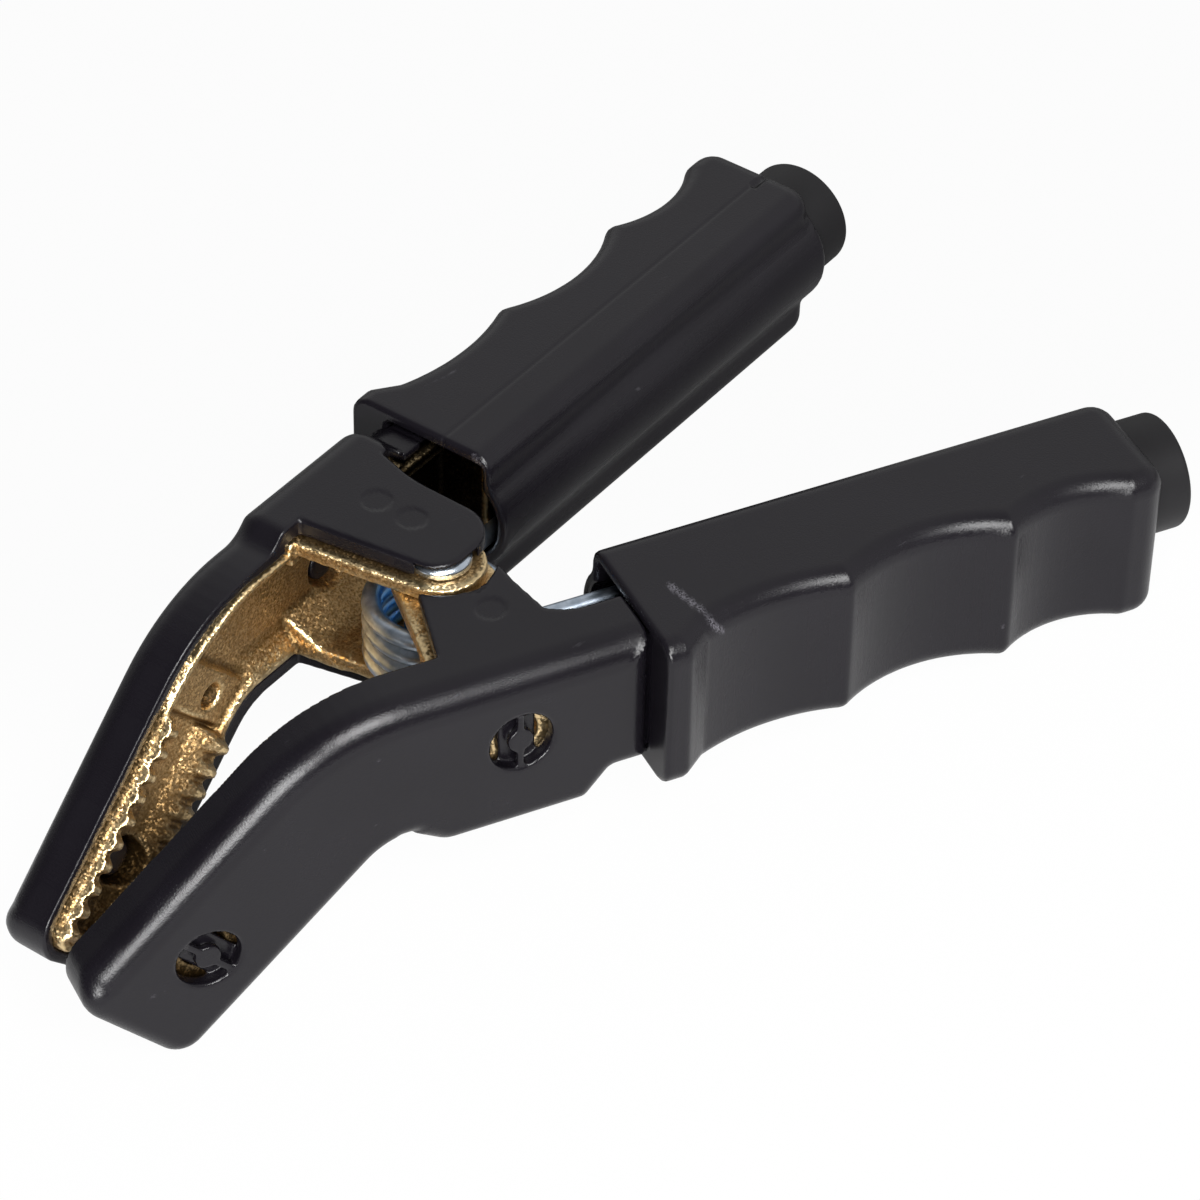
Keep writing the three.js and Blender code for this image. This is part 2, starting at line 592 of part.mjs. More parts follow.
function conductorSleeve() {
  const outer = BARREL_BORE - CLEARANCE;
  const profile = tubeProfile(outer - CRIMP_WALL, outer, CRIMP_FRONT, CRIMP_REAR);
  return toSolid(alongX(turned(profile), BARREL_Y, 0));
}

function clampScrew(x) {
  const tip = BARREL_Y + BARREL_BORE;
  const screw = rodAlongY(SCREW_RADIUS, tip, SCREW_END_Y, x, 0, 24);
  const socketFloor = SCREW_END_Y - SCREW_SOCKET_DEPTH;
  return screw.subtract(rodAlongY(SCREW_SOCKET_RADIUS, socketFloor, SCREW_END_Y + 1, x, 0, 6));
}

// ---- pieces on the pivot ----

function pivotRivet() {
  const end = HEAD_START + RIVET_HEAD;
  const edge = RIVET_HEAD / 3;
  const tailStart = HEAD_START + WASHER_THICKNESS + CLEARANCE;
  return toSolid(turned([
    [0, -end],
    [RIVET_HEAD_RADIUS - edge, -end],
    [RIVET_HEAD_RADIUS, -end + edge],
    [RIVET_HEAD_RADIUS, -tailStart],
    [RIVET_RADIUS, -tailStart],
    [RIVET_RADIUS, HEAD_START],
    [RIVET_HEAD_RADIUS, HEAD_START],
    [RIVET_HEAD_RADIUS, end - edge],
    [RIVET_HEAD_RADIUS - edge, end],
    [0, end],
  ]));
}

function pivotWasher() {
  const inner = RIVET_RADIUS + CLEARANCE;
  return toSolid(turned(tubeProfile(inner, WASHER_RADIUS, -HEAD_START - WASHER_THICKNESS, -HEAD_START)));
}

function springSpacer() {
  const half = INNER_EAR - CLEARANCE;
  return toSolid(turned(tubeProfile(RIVET_RADIUS + CLEARANCE, SPACER_RADIUS, -half, half)));
}

// The spring's wire: in along the far arm, round the coil, and out along the near arm.
class SpringPath extends THREE.Curve {
  constructor() {
    super();
    this.start = (90 + ARM_ANGLE) * RAD;
    this.sweep = 2 * Math.PI * COIL_WHOLE_TURNS + 2 * (Math.PI - this.start);
    this.halfHeight = (COIL_PITCH * this.sweep) / (4 * Math.PI);
    this.coilLength = this.sweep * COIL_RADIUS;
    this.total = this.coilLength + 2 * SPRING_LEG_X;
  }

  getPoint(t, target = new THREE.Vector3()) {
    const travelled = t * this.total - SPRING_LEG_X;
    const onCoil = Math.min(Math.max(travelled, 0), this.coilLength);
    const angle = this.start + onCoil / COIL_RADIUS;
    const level = this.halfHeight * ((2 * onCoil) / this.coilLength - 1);
    const beyond = travelled - onCoil;
    return target.set(
      COIL_RADIUS * Math.cos(angle) - beyond * Math.sin(angle),
      COIL_RADIUS * Math.sin(angle) + beyond * Math.cos(angle),
      level,
    );
  }
}

function torsionSpring() {
  const section = [];
  const sides = 8;
  for (let k = 0; k < sides; k += 1) {
    const angle = (2 * Math.PI * k) / sides;
    section.push(new THREE.Vector2(WIRE_RADIUS * Math.cos(angle), WIRE_RADIUS * Math.sin(angle)));
  }
  const geometry = new THREE.ExtrudeGeometry(new THREE.Shape(section), {
    steps: SPRING_STEPS,
    extrudePath: new SpringPath(),
  });
  return toSolid(geometry);
}

// ---- the assembly ----

const FINISHES = {
  nylon: { color: 0x1d1c1f, roughness: 0.42, metalness: 0 },
  rubber: { color: 0x141416, roughness: 0.6, metalness: 0 },
  brass: { color: 0x9a7434, roughness: 0.42, metalness: 1 },
  copper: { color: 0xb5694a, roughness: 0.35, metalness: 1 },
  zinc: { color: 0xb9c4d2, roughness: 0.28, metalness: 1 },
  steel: { color: 0x8c8f94, roughness: 0.4, metalness: 1 },
};

function namedMesh(name, solid, finish, mirrored = false) {
  const geometry = toGeometry(solid);
  if (mirrored) {
    geometry.scale(1, -1, 1);
    const index = geometry.index.array;
    for (let i = 0; i < index.length; i += 3) {
      [index[i + 1], index[i + 2]] = [index[i + 2], index[i + 1]];
    }
    geometry.computeVertexNormals();
  }
  const mesh = new THREE.Mesh(geometry, new THREE.MeshStandardMaterial(FINISHES[finish]));
  mesh.name = name;
  return mesh;
}

function arm(name, side) {
  const group = new THREE.Group();
  const add = (piece, solid, finish) => group.add(namedMesh(`${name}_${piece}`, solid, finish, side < 0));
  add('jaw_casting', jawCasting(side), 'brass');
  add('jaw_cover', jawCover(side), 'nylon');
  add('handle_grip', handleGrip(), 'nylon');
  add('cable_sleeve', cableSleeve(), 'rubber');
  add('conductor_sleeve', conductorSleeve(), 'copper');
  Object.entries(SCREW_PLACES).forEach(([place, x]) => {
    add(`clamp_screw_${place}`, clampScrew(x), 'steel');
  });
  group.rotation.z = side * ARM_ANGLE * RAD;
  return group;
}

// The turn about y that lays the jaw tips and the handles' ends on one level.
function restingTilt(group) {
  const nose = [];
  const tail = [];
  group.updateMatrixWorld(true);
  group.traverse((object) => {
    if (!object.isMesh) return;
    const position = object.geometry.attributes.position;
    for (let i = 0; i < position.count; i += 1) {
      const point = new THREE.Vector3().fromBufferAttribute(position, i).applyMatrix4(object.matrixWorld);
      (point.x < 0 ? nose : tail).push(point);
    }
  });
  const lowest = (points, tilt) => points.reduce(
    (low, { x, z }) => Math.min(low, z * Math.cos(tilt) - x * Math.sin(tilt)),
    Infinity,
  );
  let low = 0;
  let high = DROOP * RAD;
  for (let i = 0; i < 40; i += 1) {
    const middle = (low + high) / 2;
    if (lowest(nose, middle) < lowest(tail, middle)) low = middle;
    else high = middle;
  }
  return low;
}

const clamp = new THREE.Group();
clamp.add(arm('far', 1), arm('near', -1));
clamp.add(namedMesh('pivot_rivet', pivotRivet(), 'zinc'));
clamp.add(namedMesh('pivot_washer', pivotWasher(), 'zinc'));
clamp.add(namedMesh('spring_spacer', springSpacer(), 'steel'));
clamp.add(namedMesh('torsion_spring', torsionSpring(), 'zinc'));

// The clamp lies on its jaw tips and its handles' ends, with the origin on that surface
// under the middle of its outline.
const lying = new THREE.Group();
lying.add(clamp);
clamp.rotation.y = restingTilt(clamp);
lying.updateMatrixWorld(true);
const box = new THREE.Box3().setFromObject(lying, true);
const middle = box.getCenter(new THREE.Vector3());
clamp.position.set(-middle.x, -middle.y, -box.min.z);

export default lying;
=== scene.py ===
import json
import math

import bpy
import numpy as np
from mathutils import Matrix


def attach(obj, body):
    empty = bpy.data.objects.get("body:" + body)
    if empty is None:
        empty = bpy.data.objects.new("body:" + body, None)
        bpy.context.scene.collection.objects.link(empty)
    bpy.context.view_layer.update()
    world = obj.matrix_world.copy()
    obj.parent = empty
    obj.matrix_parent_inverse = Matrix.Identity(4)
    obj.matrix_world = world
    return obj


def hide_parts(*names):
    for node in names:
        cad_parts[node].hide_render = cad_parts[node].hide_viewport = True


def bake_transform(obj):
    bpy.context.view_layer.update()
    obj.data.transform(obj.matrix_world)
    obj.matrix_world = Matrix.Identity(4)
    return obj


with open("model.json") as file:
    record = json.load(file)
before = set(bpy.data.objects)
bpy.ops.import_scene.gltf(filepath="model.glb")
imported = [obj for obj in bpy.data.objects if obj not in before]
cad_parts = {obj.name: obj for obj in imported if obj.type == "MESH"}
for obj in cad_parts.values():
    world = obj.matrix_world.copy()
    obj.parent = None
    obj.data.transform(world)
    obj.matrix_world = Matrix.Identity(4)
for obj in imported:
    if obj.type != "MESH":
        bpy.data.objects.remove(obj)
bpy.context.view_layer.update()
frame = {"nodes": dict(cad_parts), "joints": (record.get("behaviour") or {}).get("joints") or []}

# ---- how the clamp lies ----
# Two arms cross on one rivet. Each arm is drawn in millimetres in its own axes: x from the pivot
# to the handle's end, y outwards to the arm's flat wall, z up the rivet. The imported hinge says
# where the rivet stands and how far it leans.
MM = 0.001
ARM_ANGLE = math.radians(14.16)
FAR, NEAR = 1, -1
ARM_NAMES = {FAR: "far", NEAR: "near"}

hinge = frame["joints"][0]
PIVOT = np.array(hinge["pos_m"], float)
PIVOT_UP = -np.array(hinge["axis"], float)
PIVOT_UP /= np.linalg.norm(PIVOT_UP)
SIDEWAYS = np.array([0.0, 1.0, 0.0])
LENGTHWAYS = np.cross(SIDEWAYS, PIVOT_UP)


def arm_axes(side):
    """The arm's own x, y and z as rows. The near arm is the far one mirrored."""
    reach = math.cos(ARM_ANGLE) * LENGTHWAYS + side * math.sin(ARM_ANGLE) * SIDEWAYS
    outwards = side * math.cos(ARM_ANGLE) * SIDEWAYS - math.sin(ARM_ANGLE) * LENGTHWAYS
    return np.array([reach, outwards, PIVOT_UP])


# ---- brass jaw castings ----
# Each arm is one sand-cast brass piece: a flanged jaw with two rows of teeth, two ears round the
# rivet and a tail inside the handle. Its edges are knocked bright in the tumbler. Brown painted
# shade lies in its hollows and corners and on the jaw's inner face towards the tip, and black
# painted shade on the tail inside the handle.
COVER_TOP = 14.0
COVER_BOTTOM = -13.7
COVER_REAR = 21.0
COVER_REAR_RADIUS = 4.8
COVER_WALL = 2.2
UNDER_ARM_EXTRA = 0.9
UNDER_JAW_EXTRA = 1.5
DROOP = math.radians(43.5)
BEND_X = -33.8
JAW_LENGTH = 61.3
JAW_HEIGHT = 27.6
OUTER_BEND_RADIUS = 36.0
HOLLOW_BEND_RADIUS = 8.0
TIP_TOP_RADIUS = 7.0
TIP_BOTTOM_RADIUS = 4.8
CLEARANCE = 0.3

CASTING_INSET = COVER_WALL + CLEARANCE
TOP_GAP = 0.8
CASTING_OUTER_Y = 28.9
CASTING_FLOOR_Y = 24.0
CASTING_RIM_Y = 21.3
UPPER_RIM, UPPER_LEAN = 1.2, 0.4
LOWER_RIM, LOWER_LEAN = 1.7, 1.35
WEB_START, WEB_END, WEB_FACE_Y = 7.8, 16.5, 22.6
WEB_HOLE = (12.3, 16.1, 2.3)
JAW_HOLE = (42.7, 14.9, 4.3)
TOOTH_TIP_Y = 19.0
TOOTH_DEPTH = 2.2
TOOTH_PITCH = 4.0
TOOTH_PEAK = 0.525
TOOTH_COUNT = 10
TOOTH_SHIFT, LOWEST_TOOTH = 0.05, 0.82
TOOTH_RELIEF, TOOTH_FLANK, ROW_LAP = 1.7, 0.72, 1.4
UPPER_ROW, LOWER_ROW = (3.8, 0.4, 0.3), (2.2, 1.25, -3.0)
TIP_BLOCK, TIP_BLOCK_Y = 3.4, 20.1
PIVOT_WINDOW = (0.4, 0.6, 4.9)
HOLE_OUTER_RADIUS, HOLE_STEP_Y = 3.6, 27.8
INNER_EAR, INNER_EAR_OUT, INNER_EAR_RADIUS = 7.7, 10.3, 8.2
OUTER_EAR, OUTER_EAR_OUT, OUTER_EAR_RADIUS = 10.6, 13.2, 7.6
EAR_ROOT_HALF = 12.2
EAR_ROOT_Y = 28.4
RAMP_TOP, RAMP_RISE, RAMP_RUN = -3.4, 0.523, 0.852
# where the jaw's brown painted shade lies, along the jaw from the bend and across it
JAW_SHADE_ALONG, JAW_SHADE_ACROSS = (20.0, 40.0), (6.0, 13.0)
# where the tail's black painted shade begins and where it is full, inside the handle
HANDLE_SHADE_X = (9.0, 17.0)
RIVET_HOLE = 3.3
TAIL_START, TAIL_END = 12.0, 42.0
TAIL_FLANGE_Y, TAIL_BACK_Y, TAIL_OUTER_Y = 20.8, 23.4, 26.4
TAIL_HEIGHT, TAIL_WALL = 10.5, 2.6
SPRING_SEAT = (30.0, 33.5, 13.3)
BARREL = (38.0, 66.0, 18.2, 7.8)
BARREL_BORE = (42.0, 5.6)
BOSS_HALF = 4.5
SCREW_PLACES = {"front": 48.0, "rear": 59.0}
SCREW_HOLE = 2.8
CASTING_STEP = 0.45
CAST_ROUND, CAST_EDGE, CAST_SHOULDER = 0.45, 0.4, 0.6
CAST_FILLET, CAST_CORNER, EAR_FILLET, WEB_FILLET = 1.5, 0.8, 0.9, 1.0
BORED_EDGE, CORED_EDGE = 0.3, 0.5
SEED = 7

COS_DROOP, SIN_DROOP = math.cos(DROOP), math.sin(DROOP)


def jaw_point(along, across):
    """A place on the jaw, along it from the bend and across it from its top line, as x and z."""
    x = BEND_X - COS_DROOP * along + SIN_DROOP * across
    z = COVER_TOP - SIN_DROOP * along - COS_DROOP * across
    return x, z


def jaw_axes(x, z):
    """How far points lie along the jaw from the bend and across it from its top line."""
    along = (BEND_X - x) * COS_DROOP + (COVER_TOP - z) * SIN_DROOP
    across = (x - BEND_X) * SIN_DROOP + (COVER_TOP - z) * COS_DROOP
    return along, across


def rounded(corners, turn_step=math.radians(4)):
    """A closed outline whose corners are (x, y) or (x, y, radius), anticlockwise."""
    points = [complex(*corner[:2]) for corner in corners]
    line = []
    for i, corner in enumerate(corners):
        before = points[i] - points[i - 1]
        after = points[(i + 1) % len(points)] - points[i]
        before, after = before / abs(before), after / abs(after)
        radius = corner[2] if len(corner) > 2 else 0
        if not radius:
            line.append(points[i])
            continue
        ratio = after / before
        turn = math.atan2(ratio.imag, ratio.real)
        start = points[i] - before * radius * math.tan(abs(turn) / 2)
        centre = start + before * 1j * math.copysign(radius, turn)
        steps = max(2, math.ceil(abs(turn) / turn_step))
        angles = turn * np.arange(steps + 1) / steps
        line.extend(centre + (start - centre) * np.exp(1j * angles))
    return np.array([[p.real, p.imag] for p in line])


def from_outline(line, across, up):
    """Signed distance from a closed outline, negative inside."""
    nearest = np.full(np.broadcast_shapes(across.shape, up.shape), 1e9, np.float32)
    inside = np.zeros(nearest.shape, bool)
    for (x0, y0), (x1, y1) in zip(line, np.roll(line, -1, axis=0)):
        ex, ey = x1 - x0, y1 - y0
        length = ex * ex + ey * ey
        if length < 1e-9:
            continue
        dx, dy = across - x0, up - y0
        t = np.clip((dx * ex + dy * ey) / length, 0, 1)
        nearest = np.minimum(nearest, (dx - ex * t) ** 2 + (dy - ey * t) ** 2)
        if y0 != y1:
            inside ^= ((y0 <= up) != (y1 <= up)) & (across < x0 + dy * ex / ey)
    return np.where(inside, -1, 1).astype(np.float32) * np.sqrt(nearest)


def block_grid(low, high, step):
    """The three coordinates of a block of points, each along its own axis."""
    axes = [np.arange(a, b + step, step, dtype=np.float32) for a, b in zip(low, high)]
    return axes[0][:, None, None], axes[1][None, :, None], axes[2][None, None, :]


def slab(value, low, high):
    return np.maximum(low - value, value - high)


def meet(a, b, edge=1e-4):
    """What lies in both, with the edge between them rounded."""
    corner = np.hypot(np.maximum(a + edge, 0), np.maximum(b + edge, 0))
    return np.minimum(np.maximum(a, b), -edge) + corner


def join(a, b, fillet=0.0):
    """What lies in either, with a fillet where they run into each other."""
    return -meet(-a, -b, fillet) if fillet else np.minimum(a, b)


def cut(a, b, edge=1e-4):
    return meet(a, -b, edge)


def smooth_step(value, start, end):
    t = np.clip((value - start) / (end - start), 0, 1)
    return t * t * (3 - 2 * t)


def brick(X, Y, Z, x, y, z, edge=1e-4):
    return meet(meet(slab(X, *x), slab(Y, *y), edge), slab(Z, *z), edge)


CORNERS = [(i, j, k) for i in (0, 1) for j in (0, 1) for k in (0, 1)]
STANDING_REACH = 3


def standing_out(field, cells, step):
    """How far the field a little way round each cell lies above the cell's own."""
    standing = -6 * field[tuple(cells.T)]
    for axis in range(3):
        for way in (-STANDING_REACH, STANDING_REACH):
            index = list(cells.T)
            index[axis] = np.clip(index[axis] + way, 0, field.shape[axis] - 1)
            standing = standing + field[tuple(index)]
    return standing / (2 * STANDING_REACH * step)


def skin_faces(inside, number):
    """A face of four cells' points round each pair of neighbours of which just one is inside."""
    faces = []
    for axis in range(3):
        order = [axis, (axis + 1) % 3, (axis + 2) % 3]
        block, lookup = inside.transpose(order), number.transpose(order)
        here, there = block[:-1, 1:-1, 1:-1], block[1:, 1:-1, 1:-1]
        i, j, k = np.argwhere(here != there).T
        ring = [lookup[i, j, k], lookup[i, j + 1, k], lookup[i, j + 1, k + 1], lookup[i, j, k + 1]]
        quads = np.stack(ring, 1)
        faces.append(np.where(here[i, j, k][:, None], quads, quads[:, ::-1]))
    return np.concatenate(faces)


def skin(field, low, step):
    """The surface where a field of distances is nought, as points, faces, normals and how far
    each point stands out (above 0) or lies in a corner (below 0)."""
    inside = field < 0
    count = np.zeros([n - 1 for n in field.shape], np.int8)
    nx, ny, nz = count.shape
    for i, j, k in CORNERS:
        count += inside[i:i + nx, j:j + ny, k:k + nz]
    active = (count > 0) & (count < 8)
    cells = np.argwhere(active)
    number = np.full(count.shape, -1, np.int32)
    number[active] = np.arange(len(cells))
    values = {corner: field[tuple((cells + corner).T)] for corner in CORNERS}
    total = np.zeros((len(cells), 3))
    hits = np.zeros(len(cells))
    for axis in range(3):
        for a in CORNERS:
            if a[axis]:
                continue
            b = tuple(v + (n == axis) for n, v in enumerate(a))
            fa, fb = values[a], values[b]
            crosses = (fa < 0) != (fb < 0)
            t = np.where(crosses, fa / np.where(crosses, fa - fb, 1), 0)
            total += crosses[:, None] * np.array(a)
            total[:, axis] += crosses * t
            hits += crosses
    place = total / hits[:, None]
    slope = np.zeros((len(cells), 3))
    for axis in range(3):
        others = [n for n in range(3) if n != axis]
        for a in CORNERS:
            share = 1.0
            for n in others:
                share = share * (place[:, n] if a[n] else 1 - place[:, n])
            slope[:, axis] += (1 if a[axis] else -1) * share * values[a]
    slope /= np.maximum(np.linalg.norm(slope, axis=1, keepdims=True), 1e-9)
    points = np.array(low) + step * (cells + place)
    return points, skin_faces(inside, number), slope, standing_out(field, cells, step)


scene = bpy.context.scene


def mesh_object(name, points, faces, axes, material, normals=None, marks=None, sharp=None):
    """A mesh in the shared frame from points in an arm's or the pivot's own millimetres. Marks
    are values at its points that its material reads."""
    faces = [list(map(int, face)) for face in faces]
    if np.linalg.det(axes) < 0:
        faces = [face[::-1] for face in faces]
    mesh = bpy.data.meshes.new(name)
    mesh.from_pydata((points @ axes * MM + PIVOT).tolist(), [], faces)
    mesh.polygons.foreach_set("use_smooth", [True] * len(mesh.polygons))
    if normals is not None:
        mesh.normals_split_custom_set_from_vertices((normals @ axes).tolist())
    if sharp is not None:
        mesh.set_sharp_from_angle(angle=math.radians(sharp))
    for mark, values in (marks or {}).items():
        attribute = mesh.attributes.new(mark, "FLOAT", "POINT")
        attribute.data.foreach_set("value", np.clip(values, -1, 1).astype(np.float32))
    mesh.materials.append(material)
    piece = bpy.data.objects.new(name, mesh)
    scene.collection.objects.link(piece)
    return piece


def fitted(piece, body, slot, *nodes):
    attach(piece, body)
    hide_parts(*nodes)


def both_arms(piece, field_of, step, material, slot, replaced, marks_of=None):
    """Makes a piece of each arm from its field of distances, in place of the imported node."""
    for side, arm in ARM_NAMES.items():
        field, low = field_of(side)
        points, faces, normals, standing = skin(field, low, step)
        marks = {"proud": standing}
        if marks_of:
            marks.update(marks_of(points, side))
        made = mesh_object(f"{arm}_{piece}", points, faces, arm_axes(side), material, normals,
                           marks)
        fitted(made, f"{arm}_arm", slot, f"{arm}_{replaced}")


def linear(code):
    """An sRGB hex colour as the shader's linear one."""
    parts = [int(code[i:i + 2], 16) / 255 for i in (1, 3, 5)]
    bent = [p / 12.92 if p <= 0.04045 else ((p + 0.055) / 1.055) ** 2.4 for p in parts]
    return (*bent, 1.0)


def node(tree, kind, values=None, **settings):
    """Adds a shader node with its settings, its sockets' values and its links. A node among the
    values is linked by the first output that its settings leave in use, and a hex colour is made
    linear."""
    made = tree.nodes.new("ShaderNode" + kind)
    for name, value in settings.items():
        setattr(made, name, value)
    for name, value in (values or {}).items():
        if isinstance(value, bpy.types.Node):
            value = next(output for output in value.outputs if output.enabled)
        if isinstance(value, bpy.types.NodeSocket):
            tree.links.new(value, made.inputs[name])
        else:
            made.inputs[name].default_value = linear(value) if isinstance(value, str) else value
    return made


def new_material(name):
    material = bpy.data.materials.new(name)
    material.use_nodes = True
    tree = material.node_tree
    tree.nodes.clear()
    where = node(tree, "TexCoord").outputs["Object"]
    return material, tree, where


def brass_material():
    """Sand-cast brass, tumbled: the facets of its grain glint and edges are bright pale metal.
    Brown painted shade lies in the hollows and corners and on the inner face towards the jaw's tip,
    and black painted shade on the tails inside the handles. Facets and sand grain are drawn about
    twice as coarse as they are, so that they show."""
    material, tree, where = new_material("cast_brass_tumbled")
    FACET_MM, SAND_GRAIN_MM, SKIN_PATCH_MM = 0.36, 0.42, 6.0
    FACET_LEAN = (0.45, 0.45, 0.45)
    grain = node(tree, "TexNoise", {
        "Vector": where, "Scale": 1 / (SAND_GRAIN_MM * MM), "Detail": 3.0, "Roughness": 0.65})
    facets = node(tree, "TexVoronoi", {"Vector": where, "Scale": 1 / (FACET_MM * MM)})
    patches = node(tree, "TexNoise", {
        "Vector": where, "Scale": 1 / (SKIN_PATCH_MM * MM), "Detail": 4.0, "Roughness": 0.55})
    proud = node(tree, "Attribute", attribute_name="proud").outputs["Fac"]
    rough_edge = node(tree, "Math", {0: grain, 1: 0.55, 2: proud}, operation="MULTIPLY_ADD")
    worn = node(tree, "MapRange", {"Value": rough_edge, "From Min": 0.46, "From Max": 0.95})
    # painted shade: brown where a point lies in a hollow or a corner
    hollow = node(tree, "MapRange", {
        "Value": rough_edge, "From Min": 0.2, "From Max": -0.5, "To Max": 0.85})
    skin_colour = node(tree, "Mix", {0: patches, 6: "#b79465", 7: "#dcbb88"}, data_type="RGBA")
    speckle = node(tree, "MapRange", {"Value": grain, "From Min": 0.36, "From Max": 0.6})
    speckled = node(tree, "Mix", {0: speckle, 6: "#957446", 7: skin_colour}, data_type="RGBA")
    bright = node(tree, "Mix", {0: worn, 6: speckled, 7: "#e8cd9c"}, data_type="RGBA")
    shade_painted = node(tree, "Mix", {0: hollow, 6: bright, 7: "#6c5432"}, data_type="RGBA")
    # painted shade: dark brown on the jaw's inner face towards the tip, where the other jaw shades
    # it
    sheltered = node(tree, "Attribute", attribute_name="sheltered").outputs["Fac"]
    jaw_shade_share = node(tree, "Math", {0: sheltered, 1: patches, 2: sheltered},
                     operation="MULTIPLY_ADD")
    jaw_shade_share = node(tree, "Math", {0: jaw_shade_share, 1: 0.6}, operation="MULTIPLY")
    shade_painted = node(tree, "Mix", {0: jaw_shade_share, 6: shade_painted, 7: "#4d3a20"}, data_type="RGBA")
    # painted shade: the tail inside the handle goes nearly black
    unworn = node(tree, "Attribute", attribute_name="unworn").outputs["Fac"]
    black = node(tree, "Math", {0: worn, 1: -0.3, 2: 1.0}, operation="MULTIPLY_ADD")
    black = node(tree, "Math", {0: black, 1: unworn}, operation="MULTIPLY")
    colour = node(tree, "Mix", {0: black, 6: shade_painted, 7: "#14100b"}, data_type="RGBA")
    roughness = node(tree, "MapRange", {"Value": worn, "To Min": 0.42, "To Max": 0.33})
    bump = node(tree, "Bump", {"Height": grain, "Strength": 0.6, "Distance": 0.09 * MM})
    # each facet leans its own way
    lean = node(tree, "VectorMath", {0: facets.outputs["Color"], 1: (0.5, 0.5, 0.5)},
                operation="SUBTRACT")
    lean = node(tree, "VectorMath", {0: lean, 1: FACET_LEAN, 2: bump}, operation="MULTIPLY_ADD")
    facing = node(tree, "VectorMath", {0: lean}, operation="NORMALIZE")
    shader = node(tree, "BsdfPrincipled", {
        "Base Color": colour, "Metallic": 1.0, "Roughness": roughness, "Normal": facing})
    node(tree, "OutputMaterial", {"Surface": shader})
    return material


def side_corners(bottom, height, bend_radius):
    """The arm from the side, without pads, anticlockwise from the inner bend."""
    tip_bottom = jaw_point(JAW_LENGTH, height)
    rise = (bottom - tip_bottom[1]) / math.tan(DROOP)
    return [
        (tip_bottom[0] + rise, bottom, bend_radius),
        (COVER_REAR, bottom, COVER_REAR_RADIUS),
        (COVER_REAR, COVER_TOP, COVER_REAR_RADIUS),
        (BEND_X, COVER_TOP, OUTER_BEND_RADIUS),
        (*jaw_point(JAW_LENGTH, 0), TIP_TOP_RADIUS),
        (*tip_bottom, TIP_BOTTOM_RADIUS),
    ]


INNER_CORNERS = side_corners(COVER_BOTTOM + UNDER_ARM_EXTRA, JAW_HEIGHT - UNDER_JAW_EXTRA,
                             HOLLOW_BEND_RADIUS)


def ear_outline(tip_radius, root_half, root_y):
    """A plate that reaches from the arm to the pivot and ends round it, as points in x and y."""
    tangent = math.acos(tip_radius / math.hypot(root_half, root_y))
    start = math.atan2(root_y, -root_half) + tangent
    end = math.atan2(root_y, root_half) - tangent + 2 * math.pi
    angles = np.linspace(start, end, 60)
    tip = tip_radius * np.stack([np.cos(angles), np.sin(angles)], 1)
    return np.concatenate([tip, [[root_half, root_y], [-root_half, root_y]]])


def tooth_row(along, across_in, Y, width, lean, rim, random):
    """One row of cast ridges. across_in is the distance in from the row's outer edge, and the
    row's inner side leans away from the tips. The valleys begin behind a straight rim, and no two
    ridges are quite alike."""
    start = WEB_END + 1
    ridge = (along - start) / TOOTH_PITCH
    which = np.clip(np.floor(ridge), 0, TOOTH_COUNT - 1).astype(int)
    shift = random.uniform(-TOOTH_SHIFT, TOOTH_SHIFT, TOOTH_COUNT)[which]
    share = random.uniform(LOWEST_TOOTH, 1.0, TOOTH_COUNT)[which]
    wave = 0.5 + 0.5 * np.cos(2 * math.pi * (ridge - which - TOOTH_PEAK + shift))
    # the ridges are a little flat on top
    height = TOOTH_DEPTH * share * np.clip(1.25 * wave - 0.05, 0, 1)
    relief = smooth_step(across_in, rim, rim + TOOTH_RELIEF)
    top = (TOOTH_TIP_Y + (TOOTH_DEPTH - height) * relief - Y) * TOOTH_FLANK
    end = start + TOOTH_COUNT * TOOTH_PITCH
    row = meet(top, slab(along, start, end + ROW_LAP), CAST_ROUND)
    shoulder = (across_in - width - lean * (Y - TOOTH_TIP_Y)) / math.hypot(1, lean)
    return meet(meet(row, shoulder, CAST_SHOULDER), Y - CASTING_FLOOR_Y - 1)


def stepped_hole(centre, radius, start, Y):
    """A cored hole, wide from the inside and narrower through the casting's outer face."""
    wide = meet(centre - radius, slab(Y, start, HOLE_STEP_Y))
    return join(wide, meet(centre - HOLE_OUTER_RADIUS, start - Y))


def add_teeth(solid, profile, along, across, Y, random):
    """The web at the jaw's root, the block at its tip and the two rows of teeth between them."""
    inner_edge = JAW_HEIGHT - UNDER_JAW_EXTRA - CASTING_INSET
    web = meet(slab(along, WEB_START, WEB_END), slab(across, CASTING_INSET, inner_edge),
               CAST_CORNER)
    web = meet(web, slab(Y, WEB_FACE_Y, CASTING_FLOOR_Y + 1), CAST_ROUND)
    solid = join(solid, meet(web, profile, CAST_ROUND), WEB_FILLET)
    tip_end = JAW_LENGTH - CASTING_INSET
    tip = meet(slab(along, tip_end - TIP_BLOCK, tip_end), slab(across, CASTING_INSET, inner_edge))
    tip = meet(tip, slab(Y, TIP_BLOCK_Y, CASTING_FLOOR_Y + 1), CAST_SHOULDER)
    rows = [tooth_row(along, across - CASTING_INSET, Y, *UPPER_ROW, random),
            tooth_row(along, inner_edge - across, Y, *LOWER_ROW, random)]
    for addition in (tip, *rows):
        solid = join(solid, meet(addition, profile, CAST_ROUND), CAST_CORNER)
    return solid


